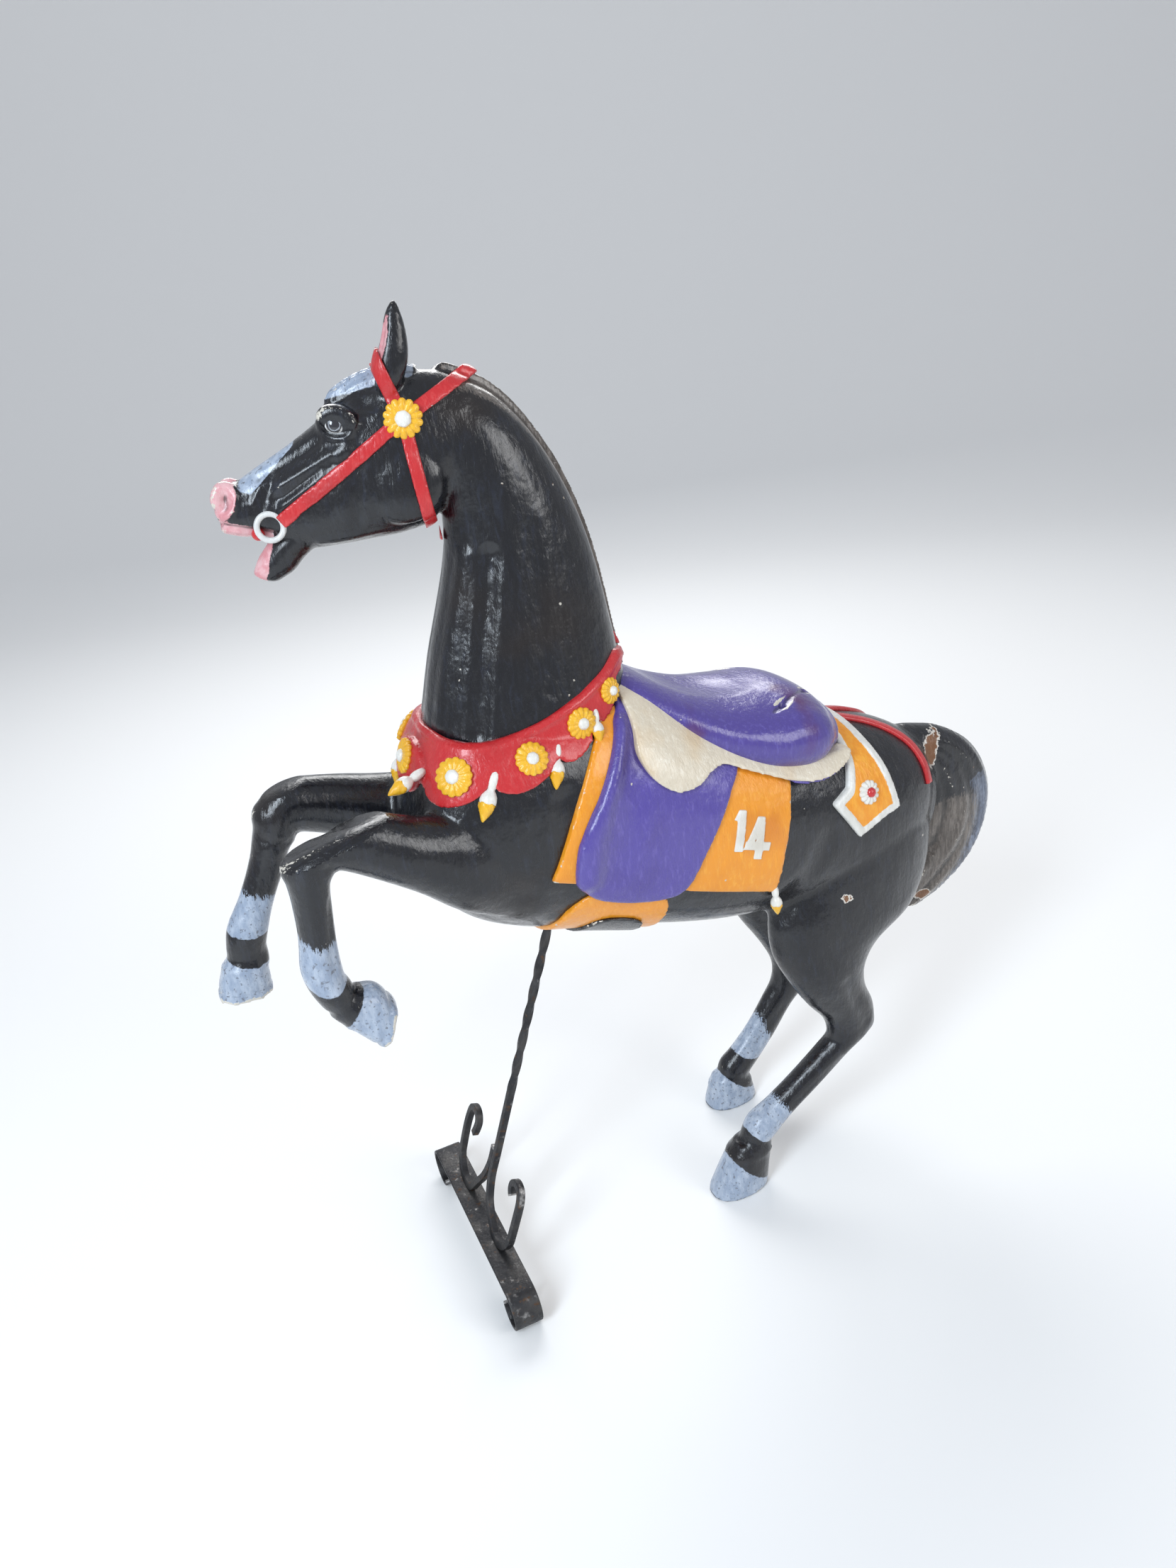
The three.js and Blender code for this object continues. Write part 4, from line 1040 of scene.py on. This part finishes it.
skull = make("skull", *loft(SKULL, round_=0.35, around=64, steps=8))
chin = make("chin", *loft(CHIN))
forelock = make("forelock", *loft(FORELOCK))
ears = [make("ear", *loft(EAR, round_=0.3))]
ears.append(flip_y(ears[0]))
side = [ball((139, -44, 1384), (25, 15, 16)), ball((50, -41, 1326), (58, 20, 57)), ball((271, -22, 1256), (17, 12, 19))]
side += [flip_y(o) for o in side]
head_parts = [skull, chin, forelock] + ears + side
for o in head_parts:
    to_drawing(o)
neck = make("neck", *loft(NECK, round_=0.2, around=80, steps=8))
mane_cut = prism("mane", MANE_LINE, 8, 300, 6)
mane = boolean(make("mane2", *loft(NECK, grow=MANE_PROUD, round_=0.2, around=80, steps=8)), mane_cut)
head = join("horse_head", [neck, mane] + head_parts)
remesh(head, 3.2, smooth=3)
slice_off(head, SPLIT - SPLIT_N * 22, -SPLIT_N)


carve_body(body)
slice_off(body, Vector((0, 0, -LIFT / math.cos(RAKE))), ground_n)
carve_head(head)


# ---------------------------------------------------------------- ornaments
def revolve(profile, cols, twist=0, waves=0, depth=0.0):
    """rings of (radius, along) round +Z, twisted and fluted; returns verts and faces of a closed body"""
    t = 2 * np.pi * np.arange(cols) / cols
    rings = []
    for r, z in profile:
        a = t + twist * z
        k = 1 + depth * np.cos(waves * a) if waves else np.ones(cols)
        rings.append(np.stack([r * k * np.cos(t), r * k * np.sin(t), np.full(cols, z)], 1))
    return skin(rings)


def place(verts, at, z_axis, x_axis=(0, 0, 1)):
    z = Vector(z_axis).normalized()
    x = Vector(x_axis)
    x = (x - z * x.dot(z)).normalized()
    y = z.cross(x)
    m = np.array([list(x), list(y), list(z)])
    return np.asarray(verts) @ m + np.array(at)


def rosette(at, n, r, petals=14, centre=0.36, height=1.0, lean=0):
    """daisy: scalloped petals with a groove down each, and a domed button; returns (petals, button)"""
    cols = petals * 6
    t = 2 * np.pi * np.arange(cols) / cols + lean
    rings = []
    wave = np.abs(np.sin(t * petals / 2)) ** 0.6
    steps = np.linspace(1, 0.0, 13)
    rim = r * (0.88 + 0.12 * wave)
    rings.append(np.stack([rim * 0.93 * np.cos(t), rim * 0.93 * np.sin(t), np.full(cols, -5.0)], 1))
    rings.append(np.stack([rim * np.cos(t), rim * np.sin(t), np.full(cols, 0.0)], 1))
    for k in steps:
        if k < 0.2:
            break
        z = height * (2.2 + 4.6 * (1 - k ** 2) + 2.3 * (wave - 0.5) * k + 1.2 * math.exp(-((k - 0.72) / 0.14) ** 2))
        rings.append(np.stack([rim * k * 0.985 * np.cos(t), rim * k * 0.985 * np.sin(t), np.full(cols, 0.0) + z], 1))
    v, f = skin(rings)
    flower = (place(v, at, n), f)
    c = r * centre
    prof = [(c * 0.9, 2), (c * 1.02, 6.4)] + [
        (c * math.cos(a), 7 * height + 5.5 * height * math.sin(a)) for a in np.linspace(0.15, 1.45, 7)]
    v, f = revolve(prof, 28, waves=7, depth=0.03)
    return flower, (place(v, at, n), f)


def tassel(at, down, out, size=1.0):
    """white knob, neck and bulb, then a yellow drop with a twist carved in it; returns (white, yellow)"""
    white = [(0.5, 0), (3.5, 1), (6.5, 5), (8, 11), (8.5, 19), (7.6, 26), (6.2, 29), (6.4, 31), (9, 34), (12.4, 40), (13.6, 47), (13.2, 51), (10, 52)]
    yellow = [(10, 49), (12.8, 50), (13.0, 53), (11.8, 58), (9.6, 64), (6.8, 70), (3.8, 76), (1.2, 80)]
    place_z = lambda v: place(np.asarray(v) * size, at, down, out)
    v, f = revolve(white, 24, waves=6, depth=0.03, twist=0.02)
    w = (place_z(v), f)
    v, f = revolve(yellow, 24, waves=5, depth=0.10, twist=0.06)
    return w, (place_z(v), f)


def gather(name, bits):
    verts, faces, base = [], [], 0
    for v, f in bits:
        verts.append(v)
        faces += [tuple(i + base for i in q) for q in f]
        base += len(v)
    return make(name, np.vstack(verts), faces)


def hit(ob, origin, direction, far=600):
    """first point of the piece met from outside, and its normal"""
    ok, where, normal, _ = ob.ray_cast(Vector(origin), Vector(direction).normalized(), distance=far)
    if not ok:
        raise ValueError(f"nothing met on {ob.name} from {origin}")
    return where, normal


def ribbon(name, points, ups, width, thick, cols=16, flat=3.2):
    """strap of rounded section along points, its face along ups"""
    pts = refine(points, 6)
    ups = refine(ups, 6)
    rings = []
    t = 2 * np.pi * np.arange(cols) / cols
    for i, (p, u) in enumerate(zip(pts, ups)):
        d = pts[min(i + 1, len(pts) - 1)] - pts[max(i - 1, 0)]
        d /= np.linalg.norm(d)
        u = u - d * (u @ d)
        u /= np.linalg.norm(u)
        s = np.cross(d, u)
        a = np.sign(np.cos(t)) * np.abs(np.cos(t)) ** (2 / flat) * width / 2
        b = np.sign(np.sin(t)) * np.abs(np.sin(t)) ** (2 / flat) * thick / 2
        rings.append(p + a[:, None] * s + b[:, None] * u)
    return make(name, *skin(rings))


# ---------------------------------------------------------------- trappings
def layer(name, outline, grow, depth, voxel=3.6, smooth=3, steps=8, corners=(), span=(-300, 300)):
    """what the torso, grown, has inside an outline seen from the side: a shell `depth` thick"""
    out = make(name, *loft(TORSO, grow=grow, around=120, steps=8))
    boolean(out, prism("p", outline, span[0], span[1], steps, corners))
    boolean(out, make("core", *loft(TORSO, grow=grow - depth, around=96, steps=8)), "DIFFERENCE")
    return remesh(out, voxel, smooth) if voxel else out


blanket = layer("blanket", BLANKET_LINE, CLOTH, 16, corners=(0, 2, 4))
flap = layer("saddle_flap", FLAP_LINE, FLAP, 16, corners=(0, 13))
p, n = coords(flap), normals(flap)
q = np.stack([p[:, 0], np.abs(p[:, 1]), p[:, 2]], 1)
roll = np.zeros(len(p))
line = [(-34, 1046), (-44, 985), (-58, 920), (-62, 865), (-52, 812)]
wide = [16, 20, 26, 30, 22]
for (a, b), w in zip(zip(line[:-1], line[1:]), wide):
    roll = np.maximum(roll, ridge(q[:, [0, 2]], a, b, w))
behind = ridge(q[:, [0, 2]], (-6, 1010), (-10, 830), 34)
set_coords(flap, p + n * (9 * roll - 4 * behind)[:, None] * np.clip((q[:, 1] - 70) / 40, 0, 1)[:, None])
remesh(flap, 3.4, smooth=7)
skirt = layer("saddle_skirt", SKIRT_LINE, SKIRT, 18, voxel=3.0, corners=(0, 22))
lip = layer("saddle_lip", LIP_LINE, SKIRT - 4, 16, voxel=3.2, corners=(0, 5))
croup = layer("croup_plate", CROUP_LINE, CLOTH, 14, voxel=2.6, smooth=2, corners=(4, 6, 8, 9))
xz = coords(croup)[:, [0, 2]]
inside = polygon_distance(xz, soft_line(np.array(CROUP_LINE, float), 8, (4, 6, 8, 9)))
give(croup, "inner", inside + 13)
p, n = coords(croup), normals(croup)
set_coords(croup, p + n * (1.6 * np.clip((inside + 13) / 3, 0, 1))[:, None])
girth = layer("girth", [[-42, 770], [-42, 600], [106, 600], [106, 770]], STRAP, 14)
pad = layer("girth_pad", [[0, 716], [0, 600], [88, 600], [88, 716]], STRAP + 5, 14)

seat = make("saddle_seat", *loft(SEAT, round_=0.6, around=96, steps=10))
remesh(seat, 3.4, smooth=3)
p, n = coords(seat), normals(seat)
q = np.stack([p[:, 0], np.abs(p[:, 1]), p[:, 2]], 1)
dish = -9 * falloff(ellipsoid(p, (140, 0, 1100), (120, 74, 60)))
crease = -5 * ridge(q, (196, 128, 1040), (262, 96, 1092), 9) - 5 * ridge(q, (262, 96, 1092), (338, 44, 1106), 9)
lobe = 5 * falloff(ellipsoid(q, (305, 118, 1050), (80, 40, 60)))
set_coords(seat, p + n * (dish + crease + lobe)[:, None])

collar = trunk(CLOTH, "collar")
boolean(collar, fan(collar_bottom, collar_top, 60, 240))
boolean(collar, trunk(-9, "inner"), "DIFFERENCE")
remesh(collar, 3.2, smooth=2)
bead = np.array([collar_top(min(abs(math.degrees(math.atan2(-y, COLLAR_AXIS - x))), 150)) for x, y, _ in coords(collar)])
p, n = coords(collar), normals(collar)
set_coords(collar, p + n * (2.2 * np.exp(-((bead - 8 - p[:, 2]) / 4) ** 2))[:, None])

flowers, buttons, whites, tips = [], [], [], []
for deg, r, tilt in [(0, 27, 0), (38, 29, 0.2), (73, 25, 0.5), (106, 24, 0.1), (131, 20, 0.4)]:
    z = collar_top(deg) * 0.50 + collar_bottom(deg) * 0.50
    for sign in ([1] if deg == 0 else [1, -1]):
        out = Vector((-math.cos(math.radians(deg)), -sign * math.sin(math.radians(deg)), 0))
        axis = Vector((COLLAR_AXIS, 0, z))
        where, normal = hit(collar, axis + out * 500, -out)
        a, b = rosette(where, normal, r, petals=14, lean=tilt)
        flowers.append(a)
        buttons.append(b)
collar_flowers = gather("collar_petals", flowers)
collar_buttons = gather("collar_buttons", buttons)
for deg, size in [(19, 0.85), (55, 0.95), (90, 0.85), (118, 0.68)]:
    for sign in (1, -1):
        out = Vector((-math.cos(math.radians(deg)), -sign * math.sin(math.radians(deg)), 0))
        z = collar_bottom(deg)
        top, normal = hit(body, Vector((COLLAR_AXIS, 0, z + 8)) + out * 500, -out)
        low, _ = hit(body, Vector((COLLAR_AXIS, 0, z - 60 * size)) + out * 500, -out)
        down = (low - top).normalized()
        a, b = tassel(top + normal * 3, down, normal, size)
        whites.append(a)
        tips.append(b)
for sign in (1, -1):
    top, normal = hit(body, (300, -sign * 500, 800), (0, sign, 0))
    a, b = tassel(top + normal * 2, Vector((0.45, 0, -1)), normal, 0.72)
    whites.append(a)
    tips.append(b)
tassel_tops = gather("tassel_tops", whites)
tassel_tips = gather("tassel_tips", tips)

# number on the near side of the blanket
bars = [
    [(177, 917), (185, 934), (198, 934), (205, 866), (189, 866), (184, 917)],
    [(222, 925), (236, 925), (245, 854), (230, 854)],
    [(207, 870), (207, 884), (256, 884), (256, 870)],
    [(222, 925), (233, 915), (220, 876), (207, 876)],
]
stroke = [layer("n", b, CLOTH + 2.2, 6, voxel=0, steps=1, span=(-300, -40)) for b in bars]
number = join("number_14", stroke)
remesh(number, 1.5, smooth=2)
edges = [[(x + (x - 215) * 0.05 * 0 + dx, z + dz) for (x, z), (dx, dz) in zip(b, [(0, 0)] * len(b))] for b in bars]

petals, middles = [], []
for sign in (1, -1):
    where, normal = hit(croup, (446, -sign * 500, 968), (0, sign, 0))
    a, b = rosette(where, normal, 21, petals=12, centre=0.40)
    petals.append(a)
    middles.append(b)
croup_petals = gather("croup_petals", petals)
croup_buttons = gather("croup_buttons", middles)

straps = []
for sign in (1, -1):
    pts, ups = [], []
    for x, y in [(372, 4), (410, 12), (458, 24), (500, 34), (540, 50), (574, 68), (598, 88), (612, 100)]:
        where, normal = hit(body, (x, -sign * y, 1400), (0, 0, -1))
        pts.append(list(where + normal * 1.5))
        ups.append(list(normal))
    straps.append(ribbon("c", pts, ups, 19, 9))
crupper = join("crupper", straps)


# bridle: strips of the swollen head inside thin slabs
def slab(a, b, width, reach=0):
    a, b = np.array(a, float), np.array(b, float)
    d = (b - a) / np.linalg.norm(b - a)
    b = b + d * reach
    s = np.array([-d[1], d[0]]) * width / 2
    ob = prism("slab", [a + s, a - s, b - s, b + s], -110, 110)
    return to_drawing(ob)


def cheek_strap():
    """the long strap to the bit ring, on both cheeks"""
    return slab((60, 1404), (196, 1240), 19)


swollen = inflate(head, 5.5)
hollow = inflate(head, -5)
strips = []
for part in (slab((60, 1404), (104, 1462), 19, 40), slab((60, 1404), (-22, 1490), 19, 20), cheek_strap(),
             slab((60, 1404), (-6, 1262), 18, 14)):
    strip = swollen.copy()
    strip.data = swollen.data.copy()
    C.scene.collection.objects.link(strip)
    boolean(strip, part)
    strips.append(strip)
bridle = join("bridle", strips)
drop(swollen)
remesh(bridle, 2.4, smooth=2)
boolean(bridle, hollow, "DIFFERENCE")

petals, middles, rings, knobs = [], [], [], []
side_axis = Vector((math.sin(HEAD_YAW), math.cos(HEAD_YAW), 0))


def head_hit(ob, u, v, sign):
    """point on the head's near (sign -1) or far side at u, v"""
    o = head_out(np.array([[u, sign * 200, v]], float))[0]
    return hit(ob, o, -side_axis * sign)


for sign in (-1, 1):
    where, _ = head_hit(bridle, 60, 1405, sign)
    a, b = rosette(where, side_axis * sign, 26, petals=14, centre=0.40)
    petals.append(a)
    middles.append(b)
    where, _ = head_hit(head, 209, 1231, sign)
    t = np.linspace(0, 2 * np.pi, 41)[:-1]
    ring = []
    for a0 in t:
        u, v = 209 + 17.5 * math.cos(a0), 1231 + 17.5 * math.sin(a0)
        ring.append((u, v))
    tube = []
    for i, (u, v) in enumerate(ring):
        c = head_out(np.array([[u, 0, v]], float))[0] * [1, 1, 1]
        c = np.array(c) + np.array(side_axis * sign) * ((Vector(where) - Vector(head_out(np.array([[209, 0, 1231.0]]))[0])).dot(side_axis * sign) + 2.5)
        radial = head_out(np.array([[math.cos(t[i]), 0, math.sin(t[i])]], float))[0] - head_out(np.zeros((1, 3)))[0]
        circle = [c + 4.2 * (math.cos(w) * radial + math.sin(w) * np.array(side_axis * sign)) for w in np.linspace(0, 2 * np.pi, 15)[:-1]]
        tube.append(circle)
    verts = np.array(tube).reshape(-1, 3)
    k, m = len(tube), len(tube[0])
    faces = [(i * m + j, i * m + (j + 1) % m, ((i + 1) % k) * m + (j + 1) % m, ((i + 1) % k) * m + j) for i in range(k) for j in range(m)]
    rings.append((verts, faces))
    where, _ = head_hit(head, 224, 1217, sign)
    v, f = revolve([(1, -6), (6.5, -5), (8.6, 0), (8.8, 3), (7.5, 7), (4.5, 9.5), (1, 10.4)], 22)
    knobs.append((place(v, where, side_axis * sign), f))
head_petals = gather("bridle_petals", petals)
head_buttons = gather("bridle_buttons", middles)
bit_rings = gather("bit_rings", rings)
bit_knobs = gather("bit_knobs", knobs)

# eyes: white ball with a black pupil, and in the black a fine grey ring that is a painted reflection
eyes = []
for sign in (-1, 1):
    lid, _ = head_hit(head, 143, 1379, sign)
    lid_out = head_in(np.array([list(lid)]))[0][1]
    eyes.append(to_drawing(ball((143, lid_out - sign * 6.5, 1379), (15, 10.5, 11.5), 48, 32)))
eye_balls = join("eyes", eyes)
h = head_in(coords(eye_balls))
give(eye_balls, "pupil", np.hypot((h[:, 0] - 144.5) / 1.0, h[:, 2] - 1379.5) - 6.6)

# ---------------------------------------------------------------- iron stand
def bar(name, path, thick, wide, turn=None, x=ROD_X, bevel=1.2, around=5):
    """square bar along points (y, z) at one x, its edges rounded"""
    path = np.array(path, float)
    rings = []
    for i, (y, z) in enumerate(path):
        a, b = path[max(i - 1, 0)], path[min(i + 1, len(path) - 1)]
        d = (b - a) / np.linalg.norm(b - a)
        nrm = np.array([-d[1], d[0]])
        t = turn(y, z) if turn else 0
        ring = []
        for cx, cy, start in [(1, 1, 0), (-1, 1, 90), (-1, -1, 180), (1, -1, 270)]:
            for k in range(around):
                w = math.radians(start + 90 * k / (around - 1))
                px = cx * (wide / 2 - bevel) + bevel * math.cos(w)
                py = cy * (thick / 2 - bevel) + bevel * math.sin(w)
                u = px * math.cos(t) - py * math.sin(t)
                v = px * math.sin(t) + py * math.cos(t)
                ring.append([x + u, y + nrm[0] * v, z + nrm[1] * v])
        rings.append(ring)
    return make(name, *skin(np.array(rings)))


def arc(cy, cz, r, start, end, n, r2=None):
    r2 = r if r2 is None else r2
    out = []
    for i in range(n + 1):
        t = math.radians(start + (end - start) * i / n)
        q = r + (r2 - r) * i / n
        out.append([cy + q * math.cos(t), cz + q * math.sin(t)])
    return out


BOTTOM = (FOOT_TOP - LIFT + ROD_X * math.sin(RAKE)) / math.cos(RAKE) + 4
hook = [[0, 260], [0, 190], [1, 150], [-3, 122], [-16, 92]] + arc(-72, BOTTOM + 46, 46, 308, 188, 9)[1:]
hook += [[-120, 146], [-120, 176]] + arc(-98, 180, 22, 168, -50, 8, 15)[1:]
scroll = [[12.4, 196], [13.4, 160], [26, 122], [46, 92]] + arc(89, BOTTOM + 48, 48, 222, 350, 9)[1:]
scroll += [[139, 146], [136, 178]] + arc(112, 182, 23, 10, 190, 8, 17)[1:] + [[98, 168], [102, 158]]
rod_path = [[0, z] for z in np.linspace(ROD_TOP, ROD_TWIST, 240)] + [[0, 300]]
rod_path += [list(q) for q in refine(hook, 4)]


def twist(y, z):
    if z < ROD_TWIST or abs(y) > 1:
        return 0
    return (z - ROD_TWIST) / (ROD_TOP - ROD_TWIST) * 2 * math.pi * TWIST_TURNS


foot_plane = Vector((0, 0, (FOOT_TOP + 0.3 - LIFT) / math.cos(RAKE)))
rod = bar("rod", rod_path, ROD, ROD, twist)
side_bar = bar("scroll", refine(scroll, 4), ROD, ROD)
for ob in (rod, side_bar):
    slice_off(ob, foot_plane, ground_n)
drop_z = FOOT_TOP - FOOT_T / 2
turn = arc(FOOT_HALF, drop_z - CURL_R, CURL_R, 90, -90, 30) + arc(FOOT_HALF, drop_z - CURL_R, CURL_R, -90, -160, 12, CURL_R - 5)[1:]
strip_path = [[-y, z] for y, z in turn][::-1] + [[y, FOOT_TOP - FOOT_T / 2] for y in np.linspace(-160, 160, 15)] + turn
foot = bar("foot", strip_path, FOOT_T, FOOT_W, x=FOOT_X, bevel=1.6)

# ---------------------------------------------------------------- dress and mount
def settle(ob, material, flat_frame=False):
    """into the row frame, riding on the one body"""
    if "edge" not in ob.data.attributes:
        give(ob, "edge", curvature(ob))
    p = coords(ob)
    if flat_frame:
        p = (p + [SHIFT, 0, 0]) / 1000
    else:
        p = to_part(p)
    p[:, 2] = np.maximum(p[:, 2], 0)
    set_coords(ob, p)
    ob.data.materials.clear()
    ob.data.materials.append(material)
    for poly in ob.data.polygons:
        poly.use_smooth = True
    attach(ob, "root")
    return ob


def eye_paint():
    m = Nodes("eye_paint")
    d = m.attr("pupil")
    wob = m.span(m.noise(300, 2), 0.3, 0.7, -0.5, 0.5)
    d = m.math("ADD", d, wob)
    white = m.mix(m.step(m.noise(120, 3), 0.4, 0.7), (0.55, 0.54, 0.52), (0.78, 0.78, 0.76))
    colour = m.mix(m.step(d, 3.0, 4.2), (0.02, 0.02, 0.025), white)
    # grey ring in the pupil: a painted reflection on the glossy eye
    colour = m.mix(m.math("MULTIPLY", m.step(d, -0.2, 0.3), m.math("SUBTRACT", 1.0, m.step(d, 1.2, 1.8))), colour, (0.28, 0.30, 0.33))
    m.put(m.bsdf.inputs["Base Color"], colour)
    m.bsdf.inputs["Roughness"].default_value = 0.08
    m.bsdf.inputs["Coat Weight"].default_value = 0.8
    m.put(m.bsdf.inputs["Normal"], m.bump(m.noise(140, 2), 0.0006, 0.4))
    return m.mat


paint_zones(body, False)
paint_zones(head, True)
for ob, material, slot in [
    (body, "horse", "horse_paint"), (head, "horse", "horse_paint"), (blanket, "orange", "orange_paint"),
    (flap, "purple", "purple_paint"), (skirt, "cream", "cream_paint"), (lip, "purple", "purple_paint"),
    (croup, "croup", "orange_paint"), (girth, "orange", "orange_paint"), (pad, "black", "horse_paint"),
    (seat, "seat", "purple_paint"), (collar, "red", "red_paint"), (collar_flowers, "yellow", "yellow_paint"),
    (collar_buttons, "white", "white_paint"), (tassel_tops, "white", "white_paint"),
    (tassel_tips, "yellow", "yellow_paint"), (number, "white", "white_paint"),
    (croup_petals, "white", "white_paint"), (croup_buttons, "red", "red_paint"), (crupper, "red", "red_paint"),
    (bridle, "red", "red_paint"), (head_petals, "yellow", "yellow_paint"), (head_buttons, "white", "white_paint"),
    (bit_rings, "ring", "white_paint"), (bit_knobs, "red", "red_paint"), (rod, "iron", "iron"),
    (side_bar, "iron", "iron"),
]:
    settle(ob, MAT[material])
settle(foot, MAT["iron"], flat_frame=True)
settle(eye_balls, eye_paint())
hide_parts("horse")
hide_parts("twisted_rod")
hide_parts("side_scroll")
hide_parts("foot_bar")
drop(plain)

# ---------------------------------------------------------------- stage, light, camera
# a floor that curves up into a backdrop behind the horse, as seen from the camera
sweep = [(-9.0, 0.0), (4.0, 0.0)]
sweep += [(4.0 + 4.0 * math.sin(t), 4.0 - 4.0 * math.cos(t)) for t in np.linspace(0, math.pi / 2, 24)[1:]]
sweep += [(8.0, 12.0)]
ahead = Vector((0.367, 0.930, 0))
aside = Vector((0.930, -0.367, 0))
rows = [[ahead * d + aside * w + Vector((0, 0, z)) for w in (-14, 14)] for d, z in sweep]
floor = make("floor", [list(v) for row in rows for v in row],
             [(2 * i, 2 * i + 1, 2 * i + 3, 2 * i + 2) for i in range(len(rows) - 1)])
for poly in floor.data.polygons:
    poly.use_smooth = True
floor_paint = Nodes("floor")
floor_paint.bsdf.inputs["Base Color"].default_value = (0.86, 0.86, 0.85, 1)
floor_paint.bsdf.inputs["Roughness"].default_value = 0.6
floor.data.materials.append(floor_paint.mat)

C.scene.view_settings.view_transform = "Standard"
world = bpy.data.worlds.new("studio")
C.scene.world = world
world.use_nodes = True
world.node_tree.nodes["Background"].inputs[0].default_value = (0.9, 0.93, 1, 1)
world.node_tree.nodes["Background"].inputs[1].default_value = 0.55


def area(name, place, target, size, power, colour=(1, 1, 1)):
    light = bpy.data.lights.new(name, "AREA")
    light.shape = "RECTANGLE"
    light.size, light.size_y = size
    light.energy = power
    light.color = colour
    ob = bpy.data.objects.new(name, light)
    C.scene.collection.objects.link(ob)
    ob.location = place
    ob.rotation_euler = (Vector(target) - Vector(place)).to_track_quat("-Z", "Y").to_euler()
    return ob


area("key", (-3.2, -2.2, 3.2), (0, 0, 0.9), (1.2, 2.6), 150, (0.80, 0.90, 1.0))
area("fill", (2.5, -3.5, 2.6), (0, 0, 0.8), (2.0, 2.0), 60)
area("back", (1.0, 3.0, 3.0), (0, 0, 0.9), (3.0, 1.6), 90)

cam = bpy.data.cameras.new("camera")
cam.lens = 27.03
cam.sensor_width = 36
cam_ob = bpy.data.objects.new("camera", cam)
C.scene.collection.objects.link(cam_ob)
right, up, back = (0.904665, -0.413017, -0.104870), (0.272639, 0.371876, 0.887343), (-0.327489, -0.831340, 0.449027)
m = Matrix.Identity(4)
for i in range(3):
    m[i][0], m[i][1], m[i][2] = right[i], up[i], back[i]
m.translation = Vector((-0.713, -1.573, 1.713))
cam_ob.matrix_world = m
C.scene.camera = cam_ob
